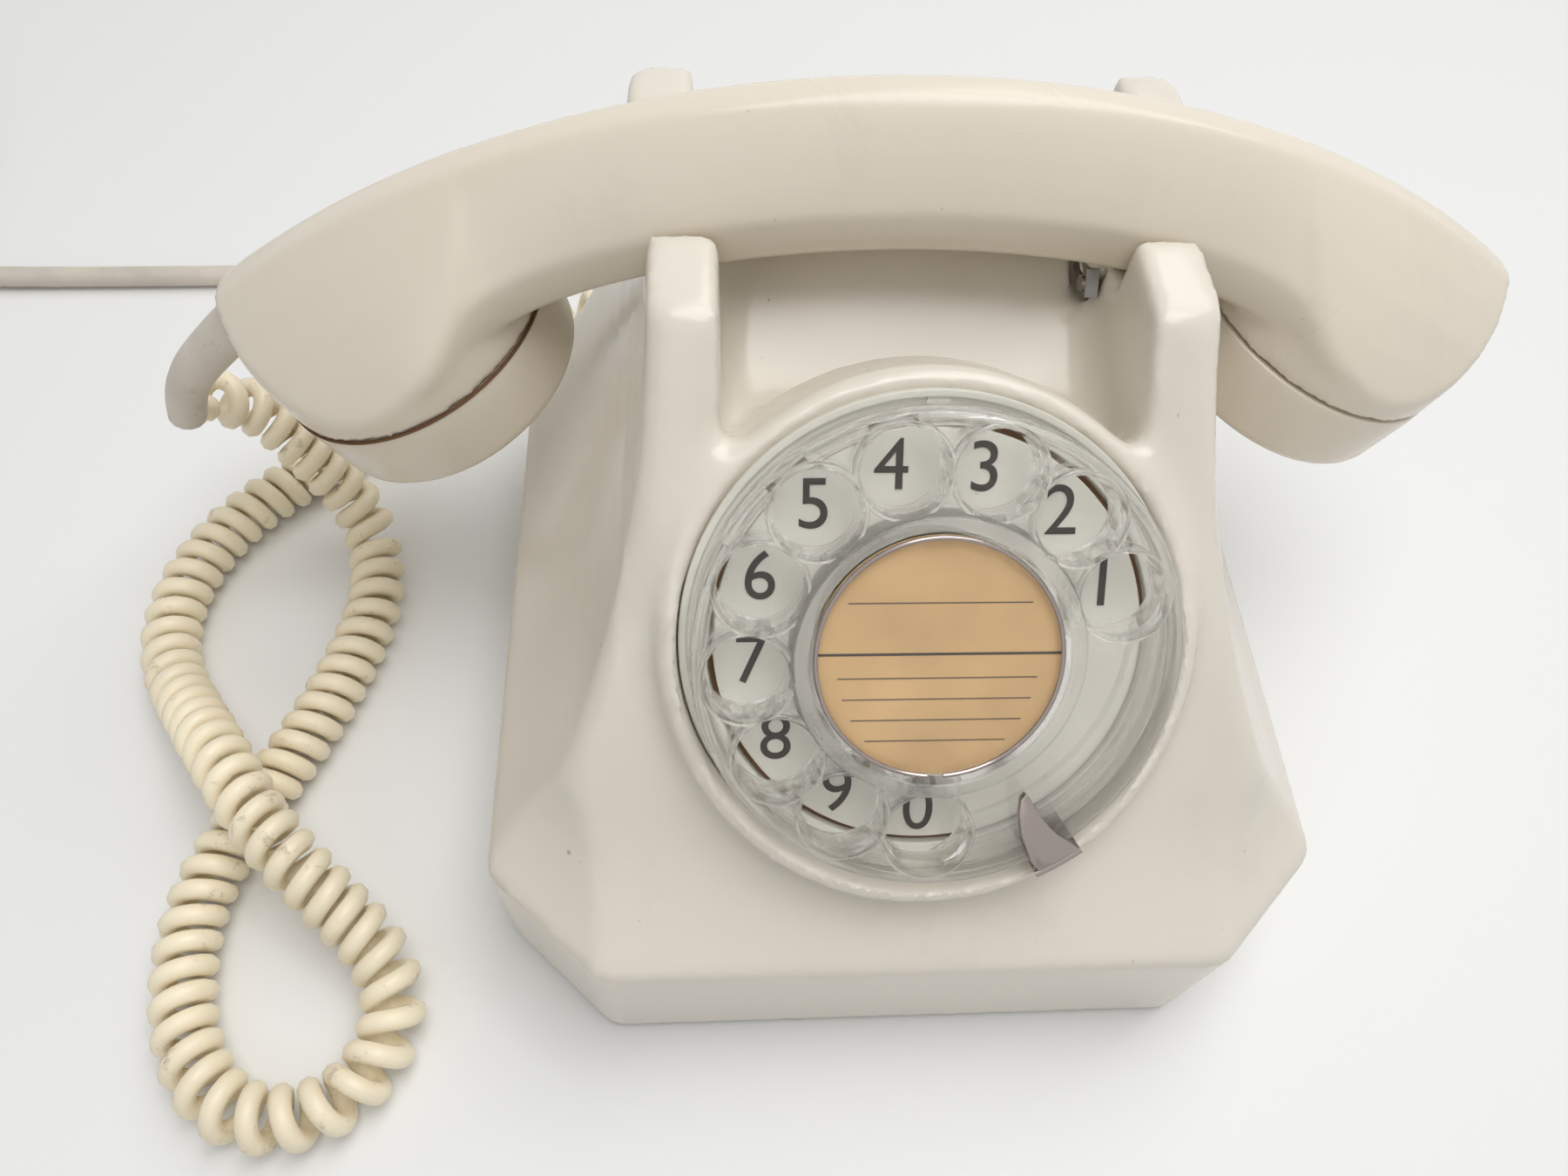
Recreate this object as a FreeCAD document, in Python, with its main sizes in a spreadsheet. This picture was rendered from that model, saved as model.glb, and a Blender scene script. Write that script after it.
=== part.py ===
"""Ivory rotary desk telephone with four cradle horns, a clear finger wheel and a curly handset cord.

Millimetres. The telephone is drawn with x = 0 on the middle of its housing, y = 0 at the front edge of its
rim and z = 0 on the table, +Y to the back. Each piece is written out about the middle of its footprint.
"""
import FreeCAD, Part
import math
import os
import re
import Sketcher
from FreeCAD import Placement, Rotation, Vector

SIZES = {
    # moulded housing
    "wall": 3.0,
    "skirt_gap": 1.2,
    "rim_height": 36.5,
    "front_half": 56.3,
    "side_half": 77.8,
    "corner_depth": 20.2,
    "depth": 172.0,
    "cove_height": 15.5,
    "rear_cove_height": 26.0,
    "corner_fade": 24.0,
    "horn_height": 116.5,
    "horn_half": 46.5,
    "horn_width": 11.9,
    "rear_top": 141.0,
    "rear_lean": 0.16,
    "panel_back": 11.0,
    "valley_floor": 86.0,
    "valley_bend": 78.0,
    "crest_height": 99.0,
    "valley_cove": 5.0,
    "boss_radius": 5.0,
    "boss_side": 61.0,
    "boss_front": 34.0,
    "boss_back": 30.0,
    # base
    "foot_height": 3.0,
    "foot_radius": 8.0,
    "foot_side": 44.0,
    "foot_front": 26.0,
    "foot_back": 24.0,
    "plate_thick": 2.0,
    "plate_gap": 0.4,
    "screw_radius": 1.9,
    "screw_length": 14.0,
    "screw_head": 3.8,
    "screw_head_high": 1.4,
    "screw_gap": 0.2,
    # dial
    "dial_y": 37.0,
    "dial_z": 84.6,
    "dial_tilt": 47.4,
    "wheel_radius": 40.0,
    "wheel_skirt": 1.7,
    "wheel_high": 9.0,
    "web_top": 1.6,
    "web_thick": 2.0,
    "hole_circle": 31.0,
    "hole_radius": 6.9,
    "hole_wall": 1.3,
    "hole_first": 19.1,
    "hole_step": 27.75,
    "hub_ring": 22.6,
    "label_radius": 20.2,
    "label_thick": 0.3,
    "cover_thick": 1.0,
    "ring_wire": 0.6,
    "well_gap": 2.2,
    "bezel_width": 3.4,
    "bezel_drop": 1.2,
    "flange_gap": 0.3,
    "number_deep": 10.2,
    "number_thick": 1.0,
    "number_inner": 22.0,
    "number_edge": 37.0,
    "frame_thick": 2.0,
    "plate_space": 12.0,
    "back_radius": 22.0,
    "back_thick": 1.6,
    "mechanism_gap": 3.0,
    "stop_angle": 59.0,
    "stop_thick": 1.2,
    "stop_width": 9.0,
    "stop_over": 1.0,
    "shaft_radius": 4.0,
    "run_gap": 0.05,
    "gear_module": 0.6,
    "gear_face": 3.0,
    "gear_set_back": 3.5,
    "main_teeth": 48,
    "pulse_teeth": 16,
    "governor_teeth": 10,
    "pulse_angle": 160.0,
    "governor_angle": 25.0,
    "pivot_radius": 1.2,
    "drum_radius": 4.4,
    "drum_wall": 0.7,
    "drum_high": 4.0,
    "weight_radius": 3.3,
    "weight_split": 0.3,
    "contact_long": 4.0,
    "contact_high": 4.0,
    "dial_screw": 2.0,
    # handset
    "cradle_y": 114.0,
    "cradle_gap": 0.7,
    "arch_top": 134.0,
    "arch_radius": 202.0,
    "handle_high": 25.5,
    "handle_half": 13.3,
    "ridge_half": 2.6,
    "roof_fall": 0.78,
    "head_reach": 88.4,
    "head_height": 83.2,
    "head_tilt": 20.4,
    "head_radius": 28.1,
    "shoulder_radius": 17.5,
    "shoulder_inward": 14.0,
    "cap_high": 16.0,
    "cap_wall": 2.6,
    "cap_edge": 2.5,
    "seam_gap": 0.3,
    "spigot_high": 5.0,
    "spigot_wall": 1.8,
    "chamber_deep": 5.4,
    "capsule_gap": 0.4,
    "transmitter_high": 9.5,
    "receiver_high": 12.5,
    "sound_hole": 1.3,
    "sound_circle": 10.0,
    "wire_bore": 4.5,
    "rest_gap": 0.3,
    "slip_angle": 1.8,
    # cradle switch
    "pivot_y": 121.0,
    "pivot_z": 96.5,
    "pin_radius": 2.0,
    "bar_y": 110.0,
    "bar_radius": 3.0,
    "bar_long": 19.0,
    "bar_gap": 0.7,
    "arm_thick": 3.0,
    "arm_eye": 4.2,
    "slot_gap": 0.6,
    "tab_thick": 2.4,
    "tab_screw": 1.5,
    "tab_screw_high": 0.8,
    "tab_screw_back": -4.0,
    # bell and circuit
    "gong_radius": 21.0,
    "gong_high": 14.0,
    "gong_wall": 1.6,
    "gong_reach": 26.0,
    "gong_y": 118.0,
    "gong_z": 26.0,
    "gong_post": 3.4,
    "ringer_y": 84.0,
    "ringer_long": 24.0,
    "ringer_half": 22.0,
    "ringer_thick": 2.5,
    "coil_radius": 8.0,
    "coil_high": 20.0,
    "coil_reach": 12.0,
    "clapper_y": 100.0,
    "clapper_z": 27.0,
    "clapper_high": 4.0,
    "clapper_eye": 3.0,
    "clapper_arm": 2.0,
    "ball_radius": 3.5,
    "capacitor_wide": 20.0,
    "capacitor_long": 38.0,
    "capacitor_high": 18.0,
    "induction_wide": 22.0,
    "induction_long": 34.0,
    "induction_high": 20.0,
    "strip_long": 50.0,
    "strip_wide": 12.0,
    "strip_high": 10.0,
    "terminal_radius": 2.4,
    "terminal_high": 2.0,
    "blade_thick": 0.4,
    "blade_long": 30.0,
    "blade_wide": 6.0,
    "block_high": 14.0,
    # cords
    "curly_wire": 4.1,
    "curly_outer": 13.0,
    "curl_spacing": 4.72,
    "tail_stretch": 1.7,
    "tail_start": 405.0,
    "tail_blend": 25.0,
    "line_wire": 5.6,
    "line_step": 6.2,
    "coil_inner": 18.6,
    "coil_tail": 36.0,
    "coil_turns": 8,
    "coil_lift": 1.2,
    "tie_thick": 0.8,
    "tie_wide": 9.0,
    "tie_gap": 0.3,
    "tie_angle": 60.0,
    "plug_long": 34.0,
    "plug_spread": 5.0,
    "pin_long": 14.0,
    "plug_pin": 2.0,
    "gland_radius": 5.5,
    "gland_flange": 7.5,
    "gland_lip": 2.0,
    "gland_z": 9.5,
    "curly_gland_x": -46.0,
    "line_gland_x": -10.0,
    "boot_radius": 4.7,
}

doc = FreeCAD.newDocument("telephone")
sheet = doc.addObject("Spreadsheet::Sheet", "sizes")
for row, (alias, number) in enumerate(SIZES.items(), start=1):
    sheet.set(f"A{row}", alias)
    sheet.set(f"B{row}", str(number))
    sheet.setAlias(f"B{row}", alias)
doc.recompute()


class Values:
    """Reads a size from the sheet by its alias."""

    def __getattr__(self, alias):
        return float(sheet.get(alias))


v = Values()
X_AXIS = Vector(1, 0, 0)
Y_AXIS = Vector(0, 1, 0)
Z_AXIS = Vector(0, 0, 1)
PLAIN = Rotation()
PARTS = []


def formula(words):
    """Point every size named in a formula at its cell of the sheet."""
    return re.sub(r"[a-z][a-z_0-9]*", lambda m: "sizes." + m[0] if m[0] in SIZES else m[0], words)


def solid(kind, name, place=None, **sizes):
    """Add a Part primitive whose sizes follow the sheet."""
    obj = doc.addObject("Part::" + kind, name)
    for prop, words in sizes.items():
        obj.setExpression(prop, formula(words))
    if place is not None:
        obj.Placement = place
    return obj


def rod(name, place, radius, length):
    return solid("Cylinder", name, place, Radius=radius, Height=length)


def block(name, place, length, width, height):
    return solid("Box", name, place, Length=length, Width=width, Height=height)


def at(x, y, z, turn=PLAIN):
    return Placement(Vector(x, y, z), turn)


def cut(name, base, tools):
    """Take one or more tools out of a base."""
    for count, tool in enumerate(tools):
        obj = doc.addObject("Part::Cut", f"{name}_cut{count}")
        obj.Base = base
        obj.Tool = tool
        obj.Refine = False
        base = obj
    return base


def fuse(name, shapes):
    obj = doc.addObject("Part::MultiFuse", name)
    obj.Shapes = shapes
    obj.Refine = False
    return obj


def group(name, shapes):
    obj = doc.addObject("Part::Compound", name)
    obj.Links = shapes
    return obj


def drawn(name, shape, place=None):
    """Add a shape drawn by Part's own functions."""
    obj = doc.addObject("Part::Feature", name)
    obj.Shape = shape
    if place is not None:
        obj.Placement = place
    return obj


def part(obj, label):
    """Name a finished piece, which is written to a file of that name."""
    obj.Label = label
    PARTS.append(obj)
    return obj


def prism(points, direction):
    """A straight-sided solid from a closed polygon."""
    ring = Part.makePolygon([Vector(*p) for p in points] + [Vector(*points[0])])
    return Part.Face(ring).extrude(direction)


def sketch_in(body, name):
    """A sketch on the body's own XY plane."""
    sketch = body.newObject("Sketcher::SketchObject", name)
    plane = next(f for f in body.Origin.OriginFeatures if f.Role == "XY_Plane")
    sketch.AttachmentSupport = [(plane, "")]
    sketch.MapMode = "FlatFace"
    return sketch


def circle_in(sketch, radius, x=None, y=None):
    """A circle whose radius and centre follow the sheet."""
    index = sketch.addGeometry(Part.Circle(Vector(0, 0, 0), Z_AXIS, 1.0), False)
    size = sketch.addConstraint(Sketcher.Constraint("Radius", index, 1.0))
    sketch.setExpression(f"Constraints[{size}]", formula(radius))
    if x is None:
        sketch.addConstraint(Sketcher.Constraint("Coincident", index, 3, -1, 1))
        return
    for kind, words in (("DistanceX", x), ("DistanceY", y)):
        place = sketch.addConstraint(Sketcher.Constraint(kind, -1, 1, index, 3, 1.0))
        sketch.setExpression(f"Constraints[{place}]", formula(words))


def disc_body(label, place, circles, thick):
    """A flat round plate: the first circle is its edge and the rest are holes."""
    body = doc.addObject("PartDesign::Body", label)
    sketch = sketch_in(body, label + "_sketch")
    for entry in circles:
        circle_in(sketch, *entry)
    pad = body.newObject("PartDesign::Pad", label + "_pad")
    pad.Profile = sketch
    pad.setExpression("Length", formula(thick))
    body.Placement = place
    return part(body, label)


# Frame of the dial: x to the right, y up its face, z out of its face, from the top of the finger wheel.
DIAL = Placement(Vector(0, v.dial_y, v.dial_z), Rotation(X_AXIS, v.dial_tilt))
FACE_OUT = DIAL.Rotation.multVec(Z_AXIS)
# The handset is a bow about this centre. It has slid along its bow in the cradle.
ARCH = Vector(0, v.cradle_y, v.arch_top - v.arch_radius)
SLIP = Placement(Vector(0, 0, 0), Rotation(Y_AXIS, -v.slip_angle), ARCH)
UNDER_RADIUS = v.arch_radius - v.handle_high
PLATE_TOP = v.foot_height + v.plate_thick
HORN_INNER = v.horn_half - v.horn_width
CRADLE_HALF = v.handle_half + v.cradle_gap


def on_dial(x, y, z, turn=PLAIN):
    return DIAL.multiply(at(x, y, z, turn))


def half_width(z):
    """Half width of the tower: a hollow arc from the rim up to the upright horns."""
    rise = v.horn_height - v.rim_height
    spread = v.side_half - v.horn_half
    radius = (rise ** 2 + spread ** 2) / (2 * spread)
    return v.horn_half + radius - math.sqrt(radius ** 2 - (v.horn_height - z) ** 2)


def panel_y(z):
    """The flat of the front panel, parallel to the dial."""
    foot = DIAL.multVec(Vector(0, 0, -v.panel_back))
    return foot.y + (z - foot.z) / math.tan(math.radians(v.dial_tilt))


def front_y(z):
    """The front face: the panel, flaring out by a cove to the rim."""
    cove = max(0.0, (v.rim_height + v.cove_height - z) / v.cove_height)
    return panel_y(z) - panel_y(v.rim_height) * cove ** 2


def rear_y(z):
    """The back face: nearly upright, flaring out by a cove to the rim."""
    cove = max(0.0, (v.rim_height + v.rear_cove_height - z) / v.rear_cove_height)
    lean = v.rear_top + (v.horn_height - z) * v.rear_lean
    lean_at_rim = v.rear_top + (v.horn_height - v.rim_height) * v.rear_lean
    return lean + (v.depth - lean_at_rim) * cove ** 2


def outline(z, inset=0.0):
    """Eight-sided outline of the housing at a height."""
    level = max(z, v.rim_height)
    half = half_width(level) - inset
    front = front_y(level) + inset / math.sin(math.radians(v.dial_tilt))
    rear = rear_y(level) - inset
    fade = max(0.1, 1 - (level - v.rim_height) / v.corner_fade)
    corner_x = (v.side_half - v.front_half) * fade
    corner_y = v.corner_depth * fade
    corners = [(half - corner_x, front), (half, front + corner_y),
               (half, rear - corner_y), (half - corner_x, rear)]
    ring = corners + [(-x, y) for x, y in reversed(corners)]
    return Part.makePolygon([Vector(x, y, z) for x, y in ring + ring[:1]])


def tower(bottom, top, inset=0.0):
    """The housing's form between two heights: an upright skirt under the rim and a flared tower over it."""
    shares = (0.0, 0.04, 0.1, 0.18, 0.28, 0.42, 0.62, 0.82, 1.0)
    rings = [outline(v.rim_height + (top - v.rim_height) * share, inset) for share in shares]
    skirt = Part.Face(outline(bottom, inset)).extrude(Vector(0, 0, v.rim_height - bottom))
    return skirt.fuse(Part.makeLoft(rings, True, False)).removeSplitter()


def valley():
    """The hollow between the horns: a floor behind the dial that curves up to a crest under the handset."""
    rise = v.crest_height - v.valley_floor
    run = v.cradle_y - v.valley_bend
    radius = (run ** 2 + rise ** 2) / (2 * rise)
    middle = math.asin(run / radius) / 2
    above = v.horn_height + v.wall
    x = -HORN_INNER
    start = Vector(x, 0, v.valley_floor)
    bend = Vector(x, v.valley_bend, v.valley_floor)
    through = bend + Vector(0, radius * math.sin(middle), radius * (1 - math.cos(middle)))
    crest = Vector(x, v.cradle_y, v.crest_height)
    back = Vector(x, v.depth, v.crest_height)
    edges = [Part.LineSegment(start, bend), Part.Arc(bend, through, crest), Part.LineSegment(crest, back)]
    ends = [back, Vector(x, v.depth, above), Vector(x, 0, above), start]
    edges += [Part.LineSegment(a, b) for a, b in zip(ends, ends[1:])]
    tool = Part.Face(Part.Wire([e.toShape() for e in edges])).extrude(Vector(2 * HORN_INNER, 0, 0))
    low = [e for e in tool.Edges if abs(abs(e.CenterOfMass.x) - HORN_INNER) < 1e-6
           and e.BoundBox.ZMax < v.crest_height + 1e-3]
    return tool.makeFillet(v.valley_cove, low)


def bow_channel(radius):
    """Everything outside a bow radius, as wide as the cradle."""
    start = ARCH - Vector(0, CRADLE_HALF, 0)
    reach = v.arch_radius + v.arch_top
    outer = Part.makeCylinder(reach, 2 * CRADLE_HALF, start, Y_AXIS)
    return outer.cut(Part.makeCylinder(radius, 2 * CRADLE_HALF, start, Y_AXIS))


def bezel():
    """The raised ring round the dial: proud behind the dial and flush with the panel in front of it."""
    radius = v.wheel_radius + v.well_gap + v.bezel_width
    deep = v.panel_back + v.plate_space + v.frame_thick + v.number_deep
    boss = Part.makeCylinder(radius, deep - v.bezel_drop, Vector(0, 0, -deep))
    lean = math.degrees(math.asin((v.panel_back - v.bezel_drop) / (2 * radius)))
    big = 4 * radius
    above = Part.makeBox(big, big, big, Vector(-big / 2, -big, 0))
    above.Placement = at(0, radius, -v.bezel_drop, Rotation(X_AXIS, lean))
    boss = boss.cut(above)
    top = max(boss.Edges, key=lambda e: e.CenterOfMass.z)
    boss = boss.makeFillet(v.bezel_width / 2, [top])
    boss.Placement = DIAL
    return boss


def make_housing():
    top = v.valley_floor - v.wall
    form = tower(v.skirt_gap, v.horn_height)
    form = form.cut(valley()).cut(bow_channel(UNDER_RADIUS - v.rest_gap)).fuse(bezel())
    outer = drawn("housing_outer", form)
    cavity = drawn("housing_cavity", tower(v.skirt_gap - v.wall, top, v.wall))
    well = v.number_deep + v.number_thick + v.frame_thick
    well_tool = rod("dial_well", on_dial(0, 0, -well), "wheel_radius + well_gap", "wheel_high + horn_height")
    throat = rod("dial_throat", on_dial(0, 0, -3 * well), "back_radius + mechanism_gap", "horn_height")
    posts = []
    holes = []
    for side in (-1, 1):
        for tag, y in (("front", v.boss_front), ("rear", v.depth - v.boss_back)):
            spot = at(side * v.boss_side, y, PLATE_TOP)
            name = f"{tag}_{'right' if side > 0 else 'left'}"
            posts.append(rod("boss_" + name, spot, "boss_radius", "valley_floor"))
            holes.append(rod("boss_hole_" + name, spot, "screw_radius + screw_gap", "screw_length"))
    back = Rotation(X_AXIS, 90)
    for tag, x in (("curly", v.curly_gland_x), ("line", v.line_gland_x)):
        spot = at(x, v.depth + v.wall, v.gland_z, back)
        holes.append(rod(tag + "_gland_hole", spot, "gland_radius + plate_gap", "4 * wall"))
    slot_x = BAR_CENTRE.x - v.arm_thick / 2 - v.slot_gap
    slot = at(slot_x, v.bar_y - v.arm_eye - v.slot_gap, v.pivot_z - v.arm_eye - v.slot_gap)
    holes.append(block("arm_slot", slot, "arm_thick + 2 * slot_gap",
                       "pivot_y - bar_y + 2 * arm_eye + 2 * slot_gap", "horn_height - pivot_z"))
    groove = at(HORN_INNER - v.wall - v.slot_gap, v.bar_y - v.bar_radius - v.slot_gap,
                BAR_CENTRE.z - v.bar_radius - v.wall)
    holes.append(block("bar_groove", groove, "horn_width + 4 * wall",
                       "2 * bar_radius + 6 * slot_gap", "horn_height - pivot_z"))
    pin_turn = Rotation(Y_AXIS, 90)
    pin_spot = at(HORN_INNER - v.wall, v.pivot_y, v.pivot_z, pin_turn)
    holes.append(rod("pin_hole", pin_spot, "pin_radius + run_gap", "horn_width + wall"))
    hollow = cut("housing_hollow", cavity, posts)
    part(cut("housing", outer, [hollow, well_tool, throat] + holes), "housing")


def make_base():
    body = doc.addObject("PartDesign::Body", "base_plate")
    sketch = sketch_in(body, "base_plate_sketch")
    inset = "(wall + plate_gap)"
    slant = f"{inset} / sin(dial_tilt * 1deg)"
    half = f"(side_half - {inset})"
    short = f"({half} - side_half + front_half)"
    corners = [(short, f"({slant})"), (half, f"({slant} + corner_depth)"),
               (half, f"(depth - {inset} - corner_depth)"), (short, f"(depth - {inset})")]
    ring = corners + [("-" + x, y) for x, y in reversed(corners)]
    spots = [Vector(float(sheet.evalExpression(x)), float(sheet.evalExpression(y)), 0) for x, y in ring]
    lines = [Part.LineSegment(a, b) for a, b in zip(spots, spots[1:] + spots[:1])]
    sketch.addGeometry(lines, False)
    for index, (x, y) in enumerate(ring):
        sketch.addConstraint(Sketcher.Constraint("Coincident", index, 2, (index + 1) % len(ring), 1))
        for kind, words, spot in (("DistanceX", x, spots[index].x), ("DistanceY", y, spots[index].y)):
            row_number = sketch.addConstraint(Sketcher.Constraint(kind, -1, 1, index, 1, spot))
            sketch.setExpression(f"Constraints[{row_number}]", formula(words))
    for side in ("", "-"):
        for y in ("boss_front", "(depth - boss_back)"):
            circle_in(sketch, "screw_radius + screw_gap", side + "boss_side", y)
    pad = body.newObject("PartDesign::Pad", "base_plate_pad")
    pad.Profile = sketch
    pad.setExpression("Length", formula("plate_thick"))
    body.Placement = at(0, 0, v.foot_height)
    part(body, "base_plate")

    feet = []
    screws = []
    for side in (-1, 1):
        rear = ("rear", v.depth - v.foot_back, v.depth - v.boss_back)
        for place, foot_y, boss_y in (("front", v.foot_front, v.boss_front), rear):
            tag = f"{place}_{'right' if side > 0 else 'left'}"
            feet.append(solid("Cone", "foot_" + tag, at(side * v.foot_side, foot_y, 0),
                              Radius1="foot_radius - 1", Radius2="foot_radius", Height="foot_height"))
            spot = at(side * v.boss_side, boss_y, v.foot_height - v.screw_head_high)
            head = rod("screw_head_" + tag, spot, "screw_head", "screw_head_high")
            shank = rod("screw_shank_" + tag, spot, "screw_radius", "screw_head_high + screw_length")
            screws.append(fuse("screw_" + tag, [head, shank]))
    part(group("rubber_feet", feet), "rubber_feet")
    part(group("base_screws", screws), "base_screws")


def hole_spots():
    """Centres of the finger holes on the dial's face, from one to nought."""
    for index in range(10):
        angle = math.radians(v.hole_first + index * v.hole_step)
        yield v.hole_circle * math.cos(angle), v.hole_circle * math.sin(angle)


def make_finger_wheel():
    """The clear wheel: an outer skirt, a web with ten finger tubes and a raised hub ring round the label."""
    low = at(0, 0, -v.wheel_high)
    skirt = cut("wheel_skirt", rod("skirt_out", low, "wheel_radius", "wheel_high"),
                [rod("skirt_in", low, "wheel_radius - wheel_skirt", "wheel_high")])
    web_low = at(0, 0, -v.web_top - v.web_thick)
    web = rod("wheel_web", web_low, "wheel_radius - wheel_skirt / 2", "web_thick")
    hub = rod("wheel_hub", web_low, "hub_ring", "web_top + web_thick + cover_thick")
    tubes = []
    holes = []
    for index, (x, y) in enumerate(hole_spots()):
        tube_low = at(x, y, -v.wheel_high + 1)
        tubes.append(rod(f"tube_{index}", tube_low, "hole_radius + hole_wall", "wheel_high - 1"))
        holes.append(rod(f"finger_hole_{index}", at(x, y, -v.wheel_high), "hole_radius", "2 * wheel_high"))
    recess = rod("label_recess", at(0, 0, -v.web_top), "label_radius + ring_wire", "wheel_high")
    bore = rod("wheel_bore", at(0, 0, -v.wheel_high), "shaft_radius - 1", "wheel_high")
    wheel = cut("finger_wheel", fuse("wheel_form", [skirt, web, hub] + tubes), holes + [recess, bore])
    wheel.Placement = DIAL
    part(wheel, "finger_wheel")


def make_label():
    card = rod("label_card", on_dial(0, 0, -v.web_top), "label_radius", "label_thick")
    part(card, "label_card")
    cover_z = v.label_thick - v.web_top
    part(rod("label_cover", on_dial(0, 0, cover_z), "label_radius", "cover_thick"), "label_cover")
    ring_z = cover_z + v.cover_thick + v.ring_wire
    gap = 8
    ring = solid("Torus", "label_ring", on_dial(0, 0, ring_z, Rotation(Z_AXIS, gap / 2 - 90)),
                 Radius1="label_radius - ring_wire", Radius2="ring_wire")
    ring.Angle3 = 360 - gap
    part(ring, "label_ring")


def tooth_wheel(teeth, module, face, bore):
    """A spur gear with slim teeth, so that a meshing pair keeps a little play."""
    pitch_radius = module * teeth / 2
    tip = pitch_radius + 0.85 * module
    root = pitch_radius - 1.15 * module
    step = 2 * math.pi / teeth
    shape = ((root, -0.29), (pitch_radius, -0.19), (tip, -0.09),
             (tip, 0.09), (pitch_radius, 0.19), (root, 0.29))
    points = []
    for tooth in range(int(teeth)):
        for radius, share in shape:
            angle = (tooth + share) * step
            points.append((radius * math.cos(angle), radius * math.sin(angle), 0))
    blank = prism(points, Vector(0, 0, face))
    return blank.cut(Part.makeCylinder(bore, face)) if bore else blank


def make_dial_train():
    """The mechanism behind the dial: two plates on posts, the main gear, the pulse wheel and the governor."""
    front = -v.number_deep - v.number_thick
    frame_back = front - v.frame_thick
    back = frame_back - v.plate_space
    gear_z = frame_back - v.gear_set_back - v.gear_face
    spots = {}
    wheels = (("pulse", v.pulse_teeth, v.pulse_angle), ("governor", v.governor_teeth, v.governor_angle))
    for name, teeth, angle in wheels:
        centre = v.gear_module * (v.main_teeth + teeth) / 2
        turn = math.radians(angle)
        spots[name] = (centre * math.cos(turn), centre * math.sin(turn), centre, angle)

    def pivots():
        for name in ("pulse", "governor"):
            teeth, angle = f"{name}_teeth", f"{name}_angle"
            reach = f"gear_module * (main_teeth + {teeth}) / 2"
            way = f"{angle} * 1deg"
            yield ("pivot_radius + run_gap", f"{reach} * cos({way})", f"{reach} * sin({way})")

    bearing = ("shaft_radius + run_gap",)
    disc_body("number_plate", on_dial(0, 0, front), [("number_edge",), ("number_inner",)], "number_thick")
    disc_body("dial_frame", on_dial(0, 0, frame_back),
              [("wheel_radius + well_gap - flange_gap",), bearing] + list(pivots()), "frame_thick")
    disc_body("dial_back_plate", on_dial(0, 0, back - v.back_thick),
              [("back_radius",), bearing] + list(pivots()), "back_thick")

    posts = []
    for angle in (95, 235, 320):
        turn = math.radians(angle)
        reach = v.back_radius - v.pivot_radius - 1
        spot = on_dial(reach * math.cos(turn), reach * math.sin(turn), back)
        posts.append(rod(f"post_{angle}", spot, "pivot_radius + 0.8", "plate_space"))
    part(group("dial_posts", posts), "dial_posts")

    train = "frame_thick + plate_space + back_thick"
    shaft_low = back - v.back_thick
    shaft_top = -v.web_top - v.web_thick
    shaft = rod("shaft_rod", at(0, 0, shaft_low), "shaft_radius",
                f"number_deep + number_thick + {train} - web_top - web_thick")
    collar = rod("shaft_collar", at(0, 0, front + v.plate_gap), "number_inner - 4",
                 "number_deep + number_thick - plate_gap - web_top - web_thick")
    shaft_all = fuse("dial_shaft", [shaft, collar])
    shaft_all.Placement = DIAL
    part(shaft_all, "dial_shaft")

    main = tooth_wheel(v.main_teeth, v.gear_module, v.gear_face, v.shaft_radius)
    part(drawn("main_gear", main, on_dial(0, 0, gear_z)), "main_gear")

    for name, teeth in (("pulse", v.pulse_teeth), ("governor", v.governor_teeth)):
        x, y, reach, angle = spots[name]
        # A gap between two teeth faces the main gear where a main tooth points at it, or half a step off.
        main_phase = (angle / 360 * v.main_teeth) % 1.0
        own = angle + 180 + (0.5 + main_phase) * 360 / teeth
        pinion = tooth_wheel(teeth, v.gear_module, v.gear_face, 0)
        pinion.Placement = at(x, y, gear_z, Rotation(Z_AXIS, own))
        axle = rod(f"{name}_axle", at(x, y, shaft_low), "pivot_radius", train)
        pieces = [drawn(f"{name}_pinion", pinion), axle]
        if name == "pulse":
            cam = prism([(-4.2, -1.4, 0), (4.2, -1.4, 0), (4.2, 1.4, 0), (-4.2, 1.4, 0)], Vector(0, 0, 2))
            cam.Placement = at(x, y, back + 2)
            pieces.append(drawn("pulse_cam", cam))
        wheel = fuse(f"{name}_wheel", pieces)
        wheel.Placement = DIAL
        part(wheel, f"{name}_wheel")

    x, y, reach, angle = spots["governor"]
    floor = at(x, y, back)
    drum = cut("governor_drum", rod("drum_out", floor, "drum_radius", "drum_high"),
               [rod("drum_in", floor, "drum_radius - drum_wall", "drum_high")])
    drum.Placement = DIAL
    part(drum, "governor_drum")
    weights = []
    for side in (-1, 1):
        ring = rod(f"weight_ring_{side}", at(x, y, back + 0.6), "weight_radius", "drum_high - 1.2")
        core = rod(f"weight_core_{side}", at(x, y, back + 0.6), "pivot_radius + run_gap", "drum_high")
        start_y = y + (v.weight_split if side > 0 else -v.weight_split - v.drum_radius)
        half = block(f"weight_half_{side}", at(x - v.drum_radius, start_y, back),
                     "2 * drum_radius", "drum_radius", "drum_high")
        bob = doc.addObject("Part::Common", f"weight_{side}")
        bob.Base = cut(f"weight_part_{side}", ring, [core])
        bob.Tool = half
        weights.append(bob)
    bobs = group("governor_weights", weights)
    bobs.Placement = DIAL
    part(bobs, "governor_weights")

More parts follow.
